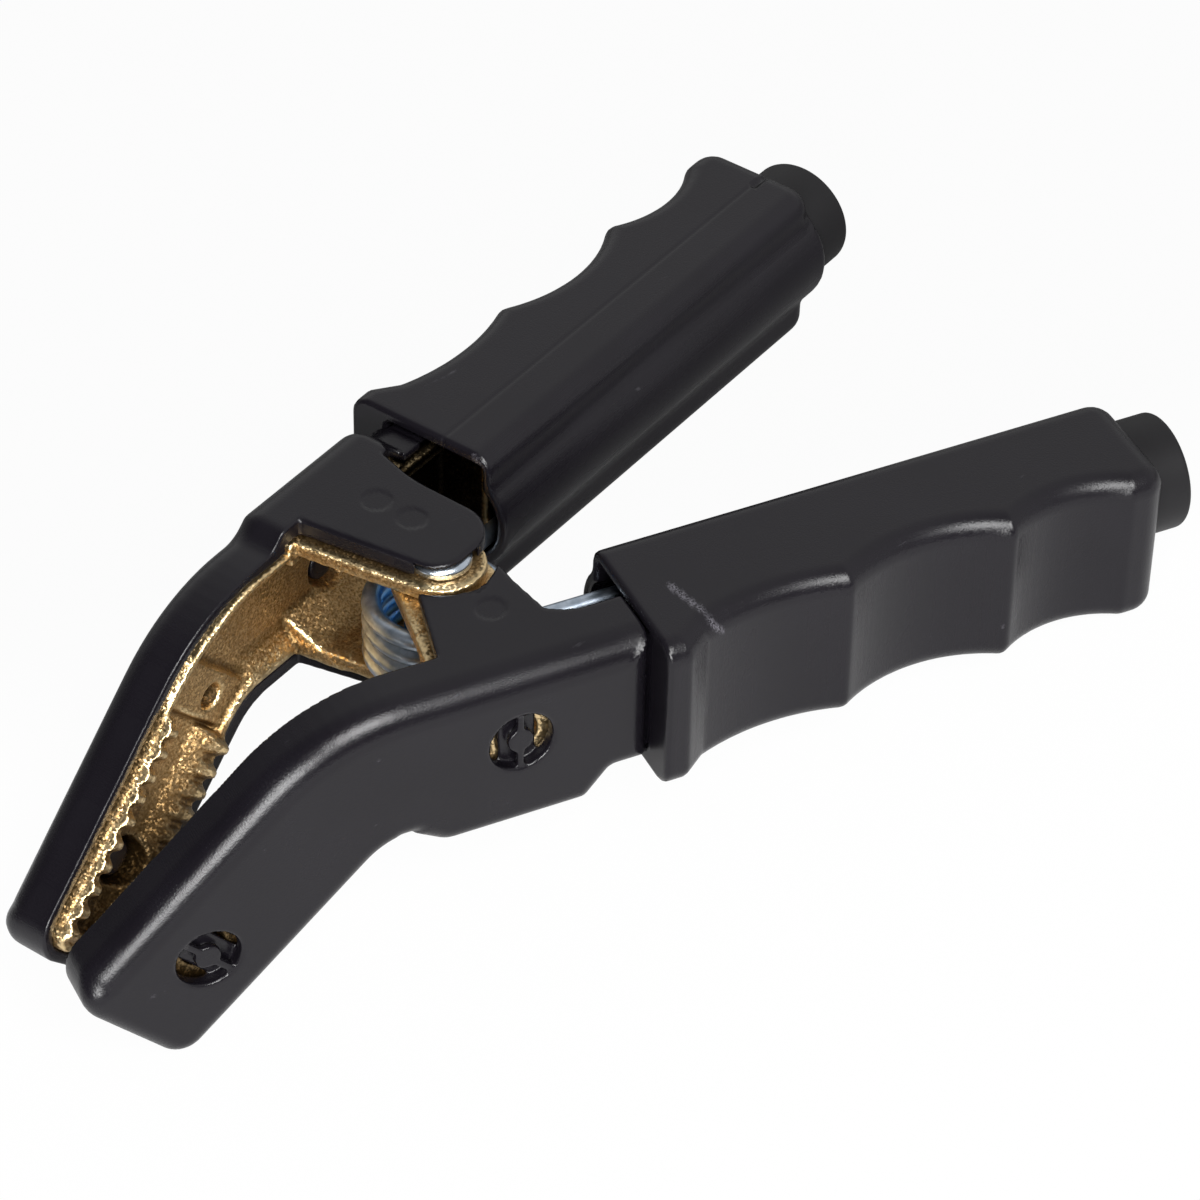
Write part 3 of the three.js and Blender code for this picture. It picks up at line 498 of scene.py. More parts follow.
def add_ears(solid, X, Y, ear_z):
    """Two ears with the other arm's outer ear and the coil between them, and their root."""
    ears = [(OUTER_EAR_RADIUS, OUTER_EAR, OUTER_EAR_OUT),
            (INNER_EAR_RADIUS, -INNER_EAR_OUT, -INNER_EAR)]
    for radius, bottom, top in ears:
        plan = from_outline(ear_outline(radius, EAR_ROOT_HALF, EAR_ROOT_Y), X, Y)
        solid = join(solid, meet(plan, slab(ear_z, bottom, top), CAST_EDGE), EAR_FILLET)
        if bottom < 0:
            # the ear under the coil runs up to the floor on a long ramp
            ramp = RAMP_RISE * (CASTING_FLOOR_Y - Y) + RAMP_RUN * (ear_z - RAMP_TOP)
            ramp = meet(meet(plan, ramp, CAST_EDGE), slab(ear_z, bottom, 0))
            solid = join(solid, ramp, EAR_FILLET)
    root = brick(X, Y, ear_z, (-EAR_ROOT_HALF, EAR_ROOT_HALF), (CASTING_RIM_Y, EAR_ROOT_Y),
                 (INNER_EAR + 1, OUTER_EAR_OUT), CAST_EDGE)
    return join(solid, root)


def add_tail(solid, X, Y, Z):
    """A channel with the spring leg's seat, and the barrel for the conductor, bored for its sleeve
    and screws."""
    channel = brick(X, Y, Z, (TAIL_START, TAIL_END), (TAIL_FLANGE_Y, TAIL_OUTER_Y),
                    (-TAIL_HEIGHT, TAIL_HEIGHT), CAST_EDGE)
    inside = TAIL_HEIGHT - TAIL_WALL
    channel = cut(channel, brick(X, Y, Z, (TAIL_START - 1, TAIL_END + 1), (0, TAIL_BACK_Y),
                                 (-inside, inside)), CAST_EDGE)
    seat_start, seat_end, seat_y = SPRING_SEAT
    seat = brick(X, Y, Z, (seat_start, seat_end), (seat_y, TAIL_BACK_Y + 1),
                 (1 - TAIL_HEIGHT, TAIL_HEIGHT - 1), CAST_EDGE)
    barrel_start, barrel_end, barrel_y, barrel_radius = BARREL
    boss = brick(X, Y, Z, (TAIL_END - 2, barrel_end), (barrel_y, TAIL_OUTER_Y),
                 (-BOSS_HALF, BOSS_HALF), CAST_EDGE)
    around = np.hypot(Y - barrel_y, Z)
    barrel = meet(around - barrel_radius, slab(X, barrel_start, barrel_end), CAST_EDGE)
    solid = join(solid, channel)
    for addition in (seat, barrel, boss):
        solid = join(solid, addition, CAST_CORNER)
    bore_start, bore_radius = BARREL_BORE
    solid = cut(solid, meet(around - bore_radius, bore_start - X), CAST_EDGE)
    for x in SCREW_PLACES.values():
        solid = cut(solid, meet(np.hypot(X - x, Z) - SCREW_HOLE, barrel_y - Y), BORED_EDGE)
    return solid


def casting_field(side):
    low, high = (-78.5, -9.2, -58.0), (67.5, 30.0, 14.6)
    X, Y, Z = block_grid(low, high, CASTING_STEP)
    profile = from_outline(rounded(INNER_CORNERS), X, Z) + CASTING_INSET
    along, across = jaw_axes(X, Z)
    # the casting lies a little deeper in the cover along the top of the jaw
    facing_up = np.gradient(profile, CASTING_STEP, axis=2)
    on_jaw = smooth_step(along, -8.0, 4.0)
    profile = profile + TOP_GAP * smooth_step(facing_up, 0.1, 0.6) * on_jaw

    plate = meet(profile, slab(Y, CASTING_FLOOR_Y, CASTING_OUTER_Y), CAST_ROUND)
    # the flange is thin at its rim and leans inwards to leave the sand, most of all underneath
    under = smooth_step(-facing_up, 0.2, 0.65) * smooth_step(WEB_START - along, -2.0, 3.0)
    rim_width = UPPER_RIM + (LOWER_RIM - UPPER_RIM) * under
    lean = UPPER_LEAN + (LOWER_LEAN - UPPER_LEAN) * under
    ring = np.maximum(profile, -(profile + rim_width + lean * (Y - CASTING_RIM_Y)))
    flange = meet(ring, slab(Y, CASTING_RIM_Y, CASTING_FLOOR_Y + 1.5), CAST_ROUND)
    gap = brick(X, Y, Z, (TAIL_START, COVER_REAR), (CASTING_RIM_Y - 2, CASTING_FLOOR_Y),
                (-INNER_EAR, INNER_EAR))
    solid = join(plate, cut(flange, gap, CAST_ROUND), CAST_FILLET)
    random = np.random.default_rng(SEED + side)
    solid = add_teeth(solid, profile, along, across, Y, random)
    solid = add_ears(solid, X, Y, Z * side)
    solid = add_tail(solid, X, Y, Z)

    from_web_hole = np.hypot(along - WEB_HOLE[0], across - WEB_HOLE[1])
    solid = cut(solid, meet(from_web_hole - WEB_HOLE[2], TOOTH_TIP_Y - Y), CAST_SHOULDER)
    from_jaw_hole = np.hypot(along - JAW_HOLE[0], across - JAW_HOLE[1])
    solid = cut(solid, stepped_hole(from_jaw_hole, JAW_HOLE[2], TOOTH_TIP_Y, Y), CORED_EDGE)
    window_x, window_z, window_radius = PIVOT_WINDOW
    from_window = np.hypot(X - window_x, Z - window_z * side)
    window = stepped_hole(from_window, window_radius, CASTING_FLOOR_Y - 3, Y)
    solid = cut(solid, window, CORED_EDGE)
    return cut(solid, np.hypot(X, Y) - RIVET_HOLE, BORED_EDGE), low


def casting_marks(points, side):
    """Where black painted shade lies on the tail inside the handle, and brown painted shade on the
    jaw's inner face towards the tip.
    """
    along, across = jaw_axes(points[:, 0], points[:, 2])
    sheltered = smooth_step(along, *JAW_SHADE_ALONG) * smooth_step(across, *JAW_SHADE_ACROSS)
    return {"unworn": smooth_step(points[:, 0], *HANDLE_SHADE_X), "sheltered": sheltered}


both_arms("casting", casting_field, CASTING_STEP, brass_material(), "cast_brass", "jaw_casting",
          casting_marks)

# ---- conductor clamps in the tails ----
# A rolled copper sleeve takes the bare conductor in each barrel, and two socket screws of plain
# steel press on it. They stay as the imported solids.


def worked_metal(name, pale, dull, patch_mm, mark_mm, mark_depth_mm, roughness):
    """Metal with dull patches over the fine marks of rolls or a tool. The marks are drawn coarser
    than they are, so that they show."""
    material, tree, where = new_material(name)
    marks = node(tree, "TexNoise", {"Vector": where, "Scale": 1 / (mark_mm * MM)})
    patches = node(tree, "TexNoise", {"Vector": where, "Scale": 1 / (patch_mm * MM), "Detail": 3.0})
    colour = node(tree, "Mix", {0: patches, 6: pale, 7: dull}, data_type="RGBA")
    bump = node(tree, "Bump", {"Height": marks, "Strength": 0.2, "Distance": mark_depth_mm * MM})
    shader = node(tree, "BsdfPrincipled", {
        "Base Color": colour, "Metallic": 1.0, "Roughness": roughness, "Normal": bump})
    node(tree, "OutputMaterial", {"Surface": shader})
    return material


# warm and half shiny, with brown patches
copper = worked_metal("rolled_copper_dulled", "#c97f5c", "#8e523a", 5.0, 0.4, 0.05, 0.36)
# grey and faintly oiled
steel = worked_metal("turned_steel_oiled", "#9a9c9f", "#66686b", 3.0, 0.3, 0.04, 0.38)
for arm in ARM_NAMES.values():
    inner_parts = {f"{arm}_conductor_sleeve": copper}
    inner_parts.update({f"{arm}_clamp_screw_{place}": steel for place in SCREW_PLACES})
    for name, finish in inner_parts.items():
        for part_slot in frame["nodes"][name].material_slots:
            part_slot.material = finish

# ---- jaw covers ----
# A moulded black nylon cover snaps over each casting. One thin plate of it reaches over the
# rivet's head, one lies beside the other arm's ear, and a neck goes into the handle's mouth.
OUTER_WALL_Y, COVER_LIP_Y = 31.9, 21.8
COVER_OUTER_WALL = 2.7
INNER_BEND_RADIUS = 11.0
PAD_FRONT, PAD_REAR, PAD_SLOPE = -13.0, 12.0, 3.0
LOW_PAD_RAMP, LOW_PAD_RADIUS = 6.5, 5.0
PAD_HEIGHT, LOW_PAD_HEIGHT = 17.0, 17.7
STEP_HEAD, STEP_FOOT, LOW_STEP_FOOT = 2.5, 6.5, 4.5
PAD_ROUND, SLOPE_ROUND, LOW_STEP_ROUND, STEP_ROUND, END_ROUND = 3.0, 4.0, 2.5, 1.5, 0.8
TOP_EDGE, BOTTOM_EDGE = 5.4, 3.2
HEAD_START, HEAD_RECESS = 13.5, 16.0
EAR_ROOM = 10.8
COVER_END, NECK_LEVEL = 23.0, 12.5
PLATE = [(-9.6, 23.8), (-5.4, -4.95, 5.0), (10.0, -4.95, 7.2), (10.4, 14.0, 20.0), (13.2, 23.8)]
SIDE_PLATE = [(-10.9, 23.8), (-5.4, 0.0), (7.4, 0.0), (8.7, 10.3), (10.3, 17.9, 1.0),
              (12.6, 19.2, 2.0), (15.4, 20.1), (22.9, 20.0), (22.9, 23.8)]
PLATE_ARC_RADIUS, PLATE_RECESS_RADIUS = 9.2, 5.9
EJECTOR_MARKS = [(2.2, 14.8), (2.1, 7.5)]
EJECTOR_RADIUS, EJECTOR_STEP, EJECTOR_BLUR = 2.6, 0.2, 0.25
MARK_REACH = 1.5
LIP_EDGE, PLATE_EDGE, NECK_EDGE, INNER_EDGE, THIN_EDGE = 0.35, 0.7, 0.6, 0.3, 0.2
NOTCH = (16.2, 2.2)
NECK = ((11.4, 31.0), (22.6, 29.0), (-12.1, 12.1))
VENT_RADIUS, VENT_DISC_RADIUS, VENT_BAR_HALF, VENT_LAP = 5.5, 2.3, 0.65, 0.5
VENT_FLOOR, VENT_FACE = 30.2, 31.5
# the black core and the bar behind each vent's disc; the core is partly painted shade, the bar
# wholly
CORE_RADIUS, CORE_START, CORE_END = 3.2, 24.6, 29.6
SHADE_HALF, SHADE_START = 3.3, 29.0
COVER_STEP = 0.55


def nylon_material(name, dark, light, roughness_low, roughness_high):
    """Glass-filled nylon, injection moulded: a fine spark-eroded grain scatters the shine into
    specks, handled edges are a little polished, and rubbed streaks and the lines listed for each
    grip are lighter. The grain is drawn about twice as coarse as it is, so that it shows."""
    material, tree, where = new_material(name)
    GRAIN_MM, FLOW_MM, SCUFF_MM = 0.32, 14.0, 18.0
    grain = node(tree, "TexNoise", {
        "Vector": where, "Scale": 1 / (GRAIN_MM * MM), "Roughness": 0.6})
    flow = node(tree, "TexNoise", {"Vector": where, "Scale": 1 / (FLOW_MM * MM), "Detail": 3.0})
    stretched = node(tree, "Mapping", {
        "Vector": where, "Rotation": (0.3, 0.2, 0.7), "Scale": (1.0, 9.0, 5.0)})
    fibre = node(tree, "TexNoise", {
        "Vector": stretched, "Scale": 1 / (SCUFF_MM * MM), "Detail": 5.0, "Roughness": 0.6})
    rubbed = node(tree, "MapRange", {
        "Value": fibre, "From Min": 0.7, "From Max": 0.78, "To Max": 0.4})
    scuffed = node(tree, "Attribute", attribute_name="scuffed").outputs["Fac"]
    broken = node(tree, "MapRange", {"Value": grain, "From Min": 0.4, "From Max": 0.58})
    pale_mark = node(tree, "Math", {0: scuffed, 1: broken}, operation="MULTIPLY")
    pale = node(tree, "Math", {0: pale_mark, 1: rubbed}, operation="MAXIMUM")
    proud = node(tree, "Attribute", attribute_name="proud").outputs["Fac"]
    handled = node(tree, "MapRange", {
        "Value": proud, "From Min": 0.1, "From Max": 0.7, "To Max": 0.08})
    base = node(tree, "Mix", {0: flow, 6: dark, 7: light}, data_type="RGBA")
    colour = node(tree, "Mix", {0: pale, 6: base, 7: "#5a585e"}, data_type="RGBA")
    satin = node(tree, "MapRange", {
        "Value": flow, "From Min": 0.3, "From Max": 0.7,
        "To Min": roughness_low, "To Max": roughness_high})
    polished = node(tree, "Math", {0: satin, 1: handled}, operation="SUBTRACT")
    bump = node(tree, "Bump", {"Height": grain, "Strength": 0.7, "Distance": 0.055 * MM})
    shader = node(tree, "BsdfPrincipled", {
        "Base Color": colour, "Roughness": polished, "IOR": 1.5, "Specular IOR Level": 0.33,
        "Normal": bump})
    node(tree, "OutputMaterial", {"Surface": shader})
    return material


def cover_corners(side):
    """The cover from the side: a pad over or under the rivet, which steps down to the neck, and a
    straight run into the handle's mouth opposite."""
    arm = side_corners(COVER_BOTTOM, JAW_HEIGHT, INNER_BEND_RADIUS)
    bend, jaw = arm[0], arm[3:]
    if side == FAR:
        rear = [
            (COVER_END, COVER_BOTTOM, END_ROUND), (COVER_END, NECK_LEVEL, END_ROUND),
            (PAD_REAR + STEP_FOOT, NECK_LEVEL, STEP_ROUND),
            (PAD_REAR + STEP_HEAD, PAD_HEIGHT, PAD_ROUND), (PAD_FRONT, PAD_HEIGHT, PAD_ROUND),
            (PAD_FRONT - PAD_SLOPE, COVER_TOP, SLOPE_ROUND)]
    else:
        rear = [
            (PAD_FRONT - LOW_PAD_RAMP, COVER_BOTTOM, SLOPE_ROUND),
            (PAD_FRONT, -LOW_PAD_HEIGHT, LOW_PAD_RADIUS),
            (PAD_REAR, -LOW_PAD_HEIGHT, LOW_STEP_ROUND),
            (PAD_REAR + LOW_STEP_FOOT, -NECK_LEVEL, STEP_ROUND),
            (COVER_END, -NECK_LEVEL, END_ROUND), (COVER_END, COVER_TOP, END_ROUND)]
    return [bend, *rear, *jaw]


def add_plates(solid, X, Y, pad_z, side):
    """The plate over or under the rivet's head, and the one beside the other arm's ear."""
    plate_face = PAD_HEIGHT if side == FAR else LOW_PAD_HEIGHT
    side_face = -COVER_BOTTOM if side == FAR else COVER_TOP
    plan = from_outline(rounded(PLATE), X, Y)
    solid = join(solid, meet(plan, slab(pad_z, HEAD_START, plate_face), PLATE_EDGE))
    plan = from_outline(rounded(SIDE_PLATE), X, Y)
    beside = meet(plan, slab(pad_z, -side_face, -EAR_ROOM), PLATE_EDGE)
    beside = cut(beside, np.hypot(X, Y) - PLATE_ARC_RADIUS, INNER_EDGE)
    return join(solid, beside)


def hollowed(solid, X, Y, Z, pad_z):
    """Room for the casting, for its ears and tail, and for the rivet's head."""
    hollow = from_outline(rounded(INNER_CORNERS), X, Z) + COVER_WALL
    hollow = meet(hollow, slab(Y, 0, OUTER_WALL_Y - COVER_OUTER_WALL))
    solid = cut(solid, hollow, INNER_EDGE)
    ear_half = EAR_ROOT_HALF + CLEARANCE
    solid = cut(solid, brick(X, Y, pad_z, (-ear_half, ear_half), (0, CASTING_OUTER_Y),
                             (-EAR_ROOM, HEAD_START)))
    tail_half = TAIL_HEIGHT + CLEARANCE
    solid = cut(solid, brick(X, Y, Z, (TAIL_START - CLEARANCE, 99), (0, TAIL_OUTER_Y + CLEARANCE),
                             (-tail_half, tail_half)), INNER_EDGE)
    recess = meet(np.hypot(X, Y) - PLATE_RECESS_RADIUS, slab(pad_z, HEAD_START - 1, HEAD_RECESS))
    return cut(solid, recess)


def add_vent(solid, u, v, Y):
    """A round hole with a small disc held on bars in it. Behind the disc a black core stands for a
    plug and for the shade deep in the hole, and a black bar across it is there only as painted
    shade.
    """
    centre = np.hypot(u, v)
    solid = cut(solid, meet(centre - VENT_RADIUS, CASTING_OUTER_Y - Y), LIP_EDGE)
    bar = meet(slab(u, -VENT_BAR_HALF, VENT_BAR_HALF), centre - VENT_RADIUS - VENT_LAP)
    spoke = join(centre - VENT_DISC_RADIUS, bar, INNER_EDGE)
    solid = join(solid, meet(spoke, slab(Y, VENT_FLOOR, VENT_FACE), THIN_EDGE))
    core = meet(centre - CORE_RADIUS, slab(Y, CORE_START, CORE_END), INNER_EDGE)
    stem = meet(centre - CORE_RADIUS / 2, slab(Y, CORE_START, VENT_FACE - VENT_LAP))
    # a black bar behind the disc, put there as painted shade
    shade_bar = meet(slab(u, -SHADE_HALF, SHADE_HALF), centre - VENT_RADIUS - VENT_LAP)
    shade_bar = meet(shade_bar, slab(Y, SHADE_START, CORE_END), THIN_EDGE)
    return join(join(solid, core), join(stem, shade_bar))


def cover_field(side):
    low, high = (-81.0, -7.6, -60.5), (32.0, 33.0, 18.6)
    X, Y, Z = block_grid(low, high, COVER_STEP)
    outside = from_outline(rounded(cover_corners(side)), X, Z)
    facing_up = np.gradient(outside, COVER_STEP, axis=2)
    edge = BOTTOM_EDGE + (TOP_EDGE - BOTTOM_EDGE) * smooth_step(facing_up, -0.1, 0.6)
    solid = meet(outside, slab(Y, 0, OUTER_WALL_Y), edge)
    solid = meet(solid, COVER_LIP_Y - Y, LIP_EDGE)

    pad_z = Z * side
    solid = add_plates(solid, X, Y, pad_z, side)
    # round marks that the mould's ejector pins left in the plates' faces
    near_face = np.abs(Z) > COVER_TOP - MARK_REACH
    for mark_x, mark_y in EJECTOR_MARKS:
        from_rim = EJECTOR_RADIUS - np.hypot(X - mark_x, Y - mark_y)
        sunk = smooth_step(from_rim, -EJECTOR_BLUR, EJECTOR_BLUR) * near_face
        solid = solid + EJECTOR_STEP * sunk
    solid = join(solid, brick(X, Y, Z, *NECK, NECK_EDGE))
    notch_x, notch_radius = NOTCH
    notch = meet(np.hypot(X - notch_x, Y - COVER_LIP_Y) - notch_radius, TAIL_HEIGHT - pad_z)
    solid = hollowed(cut(solid, notch, THIN_EDGE), X, Y, Z, pad_z)

    along, across = jaw_axes(X, Z)
    solid = add_vent(solid, X, Z, Y)
    return add_vent(solid, along - JAW_HOLE[0], across - JAW_HOLE[1], Y), low


cover_nylon = nylon_material("nylon_moulded_satin", "#0d0b0f", "#121015", 0.27, 0.33)
both_arms("cover", cover_field, COVER_STEP, cover_nylon, "black_nylon", "jaw_cover")

# ---- rivet, washer and spacer ----
# One zinc-plated steel rivet holds both arms: a factory head on top, a washer under the head that
# was formed in the press below, and a plain spacer that keeps the spring's coil round it.
PIVOT_AXES = np.array([LENGTHWAYS, SIDEWAYS, PIVOT_UP])
RIVET_RADIUS, RIVET_HEAD_RADIUS, RIVET_HEAD = 3.0, 5.2, 2.2
WASHER_RADIUS, WASHER_THICKNESS = 6.2, 0.7
SPACER_RADIUS, SPACER_HALF = 6.0, 7.4
HEAD_END = HEAD_START + RIVET_HEAD
FORMED_START = HEAD_START + WASHER_THICKNESS + CLEARANCE


def turned(profile, segments=120):
    """A solid of revolution about z from (radius, z) points, closed on itself."""
    profile = np.array(profile, float)
    angles = np.linspace(0, 2 * math.pi, segments, endpoint=False)
    ring = np.stack([np.cos(angles), np.sin(angles)], 1)
    points, faces, index = [], [], []
    for radius, z in profile:
        if radius < 1e-6:
            index.append([len(points)] * segments)
            points.append([0, 0, z])
        else:
            index.append(list(range(len(points), len(points) + segments)))
            points.extend([radius * c, radius * s, z] for c, s in ring)
    for a, b in zip(range(len(profile)), np.roll(range(len(profile)), -1)):
        for k in range(segments):
            n = (k + 1) % segments
            face = [index[a][k], index[a][n], index[b][n], index[b][k]]
            face = [v for m, v in enumerate(face) if v not in face[:m]]
            if len(face) > 2:
                faces.append(face)
    return np.array(points), faces


def zinc_material(name, tint_low, tint_high, spacer_reflection_tint, bloom=0.0):
    """Bright zinc plate on steel: bluish silver in soft clouds. Points marked inside take a blue
    painted reflection of the spacer. Bloom is the share of it that has gone pale and scatters
    light, which also dulls what it mirrors. The fine grain of the plating is drawn coarser than it
    is, so that it shows."""
    material, tree, where = new_material(name)
    CLOUD_MM, PLATING_MM = 1.8, 0.35
    dulled = 1.6 * bloom
    cloud = node(tree, "TexNoise", {"Vector": where, "Scale": 1 / (CLOUD_MM * MM), "Detail": 3.0})
    fine = node(tree, "TexNoise", {"Vector": where, "Scale": 1 / (PLATING_MM * MM)})
    colour = node(tree, "Mix", {0: cloud, 6: tint_low, 7: tint_high}, data_type="RGBA")
    # painted reflection: the blue of the spacer on the coil's inner side
    inside = node(tree, "Attribute", attribute_name="inside").outputs["Fac"]
    colour = node(tree, "Mix", {0: inside, 6: colour, 7: spacer_reflection_tint}, data_type="RGBA")
    gloss = node(tree, "MapRange", {
        "Value": cloud, "From Min": 0.3, "From Max": 0.7,
        "To Min": 0.22 + dulled, "To Max": 0.3 + dulled})
    bump = node(tree, "Bump", {"Height": fine, "Strength": 0.25, "Distance": 0.04 * MM})
    shader = node(tree, "BsdfPrincipled", {
        "Base Color": colour, "Metallic": 1.0 - bloom, "Roughness": gloss, "Normal": bump})
    node(tree, "OutputMaterial", {"Surface": shader})
    return material


def domed_head(start, end, radius):
    """The profile of a shallow domed head from its seat to its top, as (radius, z)."""
    rim = 0.35
    angles = np.linspace(0, math.pi / 2, 12)
    height = end - start
    return [(radius, start), *[
        (radius * math.cos(a) ** 0.6 if a < math.pi / 2 - 1e-6 else 0.0,
         start + height * (rim + (1 - rim) * math.sin(a))) for a in angles]]


def flat_ring(radius, low, high, edge):
    """The profile of a ring round the rivet with its outer edges broken, as (radius, z)."""
    inner = RIVET_RADIUS + CLEARANCE
    return [(inner, low), (radius - edge, low), (radius, low + edge), (radius, high - edge),
            (radius - edge, high), (inner, high)]


zinc = zinc_material("zinc_plate_bright", "#b9c6d6", "#dfe6ee", "#6f9cc8")
spacer_zinc = zinc_material("zinc_plate_blued", "#4f86bb", "#9cc4e6", "#4f86bb")
shank_top = domed_head(HEAD_START, HEAD_END, RIVET_HEAD_RADIUS)
formed_head = domed_head(FORMED_START, HEAD_END, RIVET_HEAD_RADIUS)
shank_bottom = [(r, -z) for r, z in reversed(formed_head)]
rivet_profile = [*shank_bottom, (RIVET_RADIUS, -FORMED_START), (RIVET_RADIUS, HEAD_START),
                 *shank_top]
washer_ring = flat_ring(WASHER_RADIUS, -HEAD_START - WASHER_THICKNESS, -HEAD_START, 0.15)
spacer_ring = flat_ring(SPACER_RADIUS, -SPACER_HALF, SPACER_HALF, 0.3)
turned_parts = {
    "pivot_rivet": (rivet_profile, zinc, 40, "zinc_steel"),
    "pivot_washer": (washer_ring, zinc, 50, "zinc_steel"),
    "spring_spacer": (spacer_ring, spacer_zinc, 50, "plain_steel"),
}
for name, (profile, finish, sharp, slot) in turned_parts.items():
    piece = mesh_object(f"{name}_fine", *turned(profile), PIVOT_AXES, finish, sharp=sharp)
    fitted(piece, "near_arm", slot, name)

# ---- torsion spring ----
# Cold-drawn spring wire, zinc plated after coiling. The coil stands round the rivet between the
# ears and a straight leg lies in each tail, so the wire twists as the arms turn.
WIRE_RADIUS = 1.6
COIL_RADIUS = 11.4
COIL_PITCH = 3.3
COIL_WHOLE_TURNS = 3
SPRING_LEG = 36.0
COIL_START = math.pi / 2 + ARM_ANGLE
COIL_SWEEP = 2 * math.pi * COIL_WHOLE_TURNS + 2 * (math.pi - COIL_START)
COIL_LENGTH = COIL_SWEEP * COIL_RADIUS
WIRE_SIDES, WIRE_SEGMENTS = 20, 420


def spring_line(travelled):
    """A point of the wire's middle line, in along the far arm, round the coil and out again."""
    half_height = COIL_PITCH * COIL_SWEEP / (4 * math.pi)
    on_coil = np.clip(travelled, 0, COIL_LENGTH)
    angle = COIL_START + on_coil / COIL_RADIUS
    beyond = travelled - on_coil
    return np.stack([
        COIL_RADIUS * np.cos(angle) - beyond * np.sin(angle),
        COIL_RADIUS * np.sin(angle) + beyond * np.cos(angle),
        half_height * (2 * on_coil / COIL_LENGTH - 1)], -1)


def spring_wire():
    """The wire as a tube round its middle line, as points and faces."""
    travelled = np.linspace(-SPRING_LEG, COIL_LENGTH + SPRING_LEG, WIRE_SEGMENTS)
    line = spring_line(travelled)
    heading = np.gradient(line, axis=0)
    heading /= np.linalg.norm(heading, axis=1, keepdims=True)
    sideways = np.cross(heading, (0, 0, 1.0))
    sideways /= np.linalg.norm(sideways, axis=1, keepdims=True)
    upwards = np.cross(sideways, heading)
    angles = np.linspace(0, 2 * math.pi, WIRE_SIDES, endpoint=False)
    cosines, sines = np.cos(angles)[:, None, None], np.sin(angles)[:, None, None]
    ring = WIRE_RADIUS * (cosines * sideways + sines * upwards)
    points = (line + ring).transpose(1, 0, 2).reshape(-1, 3)
    faces = []
    for i in range(WIRE_SEGMENTS - 1):
        for k in range(WIRE_SIDES):
            n = (k + 1) % WIRE_SIDES
            a, b = i * WIRE_SIDES, (i + 1) * WIRE_SIDES
            faces.append([a + k, b + k, b + n, a + n])
    faces.append(list(range(WIRE_SIDES)))
    last = (WIRE_SEGMENTS - 1) * WIRE_SIDES
    faces.append([last + k for k in reversed(range(WIRE_SIDES))])
    return points, faces


spring_zinc = zinc_material("zinc_plate_spring_wire", "#6b7f95", "#e6eff9", "#5f98cc", 0.05)
spring_points, spring_faces = spring_wire()
from_axis = np.hypot(spring_points[:, 0], spring_points[:, 1])
# the coil's inner side, facing the spacer, takes a blue painted reflection of it
facing_spacer = smooth_step(COIL_RADIUS - from_axis, 0.3, 1.2)
spring = mesh_object("torsion_spring_fine", spring_points, spring_faces, PIVOT_AXES, spring_zinc,
                     marks={"inside": facing_spacer}, sharp=60)
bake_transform(spring)
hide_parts("torsion_spring")

# ---- handle grips ----
# A hollow grip of the same nylon, moulded with three finger grooves and a half-round swelling
# along its inner face, is pushed over each tail. A flange goes round its mouth.
HANDLE_FRONT, HANDLE_REAR = 23.2, 118.4
HANDLE_INNER_Y = 7.7
HANDLE_TOP, HANDLE_BOTTOM = 15.0, -15.4
HANDLE_EDGE, REAR_CORNER, CREST_ROUND = 3.8, 4.4, 1.6
HANDLE_WALL, HANDLE_INNER_WALL = 2.4, 1.8
GRIP_LEAD = 8.0
BULGE_ROUND, BULGE_FILLET, CAVITY_ROUND = 1.5, 1.0, 1.2
FLANGE_EDGE, MOUTH_EDGE, CAVITY_EDGE, SEAT_EDGE = 0.9, 1.0, 0.5, 0.4
FLANGE_Y, FLANGE_REAR = 37.0, 26.8
CREASE = (31.0, 33.8)
CRESTS = [(58.2, 32.7), (88.6, 31.8), (111.8, 31.2)]
GROOVE_SAGS = [2.2, 4.0, 3.2]
BULGE_Y, BULGE_Z, BULGE_RADIUS, BULGE_BORE = 15.8, 0.6, 11.5, 9.4
CAVITY_REAR = 98.0
OUTLET_Z, OUTLET_RADIUS = 1.6, 10.1
MOUTH_DEPTH = 27.5
MOUTH = ((0, 29), (9.4, 29.5), (-12.6, 12.6))
SEAM_Y, SEAM_HALF, SEAM_DEPTH = 17.4, 0.45, 0.14
SEAM_NOTCH, SEAM_NOTCH_HALF, SEAM_NOTCH_DEPTH = (112.3, 117.0), 0.6, 0.5
SEAT_ROOM = 0.05
# pale lines on each grip, each as its half width and points; on the far grip they are scuffs
PALE_MARKS = {
    FAR: [(0.6, (23.3, 9.4, 12.0), (23.5, 11.0, 14.2)),
          (0.5, (23.3, 8.2, 3.0), (23.3, 8.4, 6.0))],
    # a pale line across the near grip's top behind its flange
    NEAR: [(0.75, (30.2, 22.5, 15.0), (31.9, 28.9, 15.0), (33.2, 32.6, 13.4),
            (35.8, 33.2, 10.8))],
}
GRIP_STEP = 0.6


def groove(a, b, sag):
    """The points of a shallow arc from a to b that dips towards the handle's middle."""
    half = math.hypot(b[0] - a[0], b[1] - a[1]) / 2
    radius = (half * half + sag * sag) / (2 * sag)
    t = np.linspace(0, 1, 25)[1:]
    dip = np.sqrt(radius ** 2 - ((2 * t - 1) * half) ** 2) - (radius - sag)
    return [(a[0] + (b[0] - a[0]) * s, a[1] + (b[1] - a[1]) * s - d) for s, d in zip(t, dip)]


def grip_line(inset):
    line = [(FLANGE_REAR, FLANGE_Y), CREASE]
    for crest, sag in zip(CRESTS, GROOVE_SAGS):
        line += groove(line[-1], crest, sag)
    return [(x, y - inset) for x, y in line]


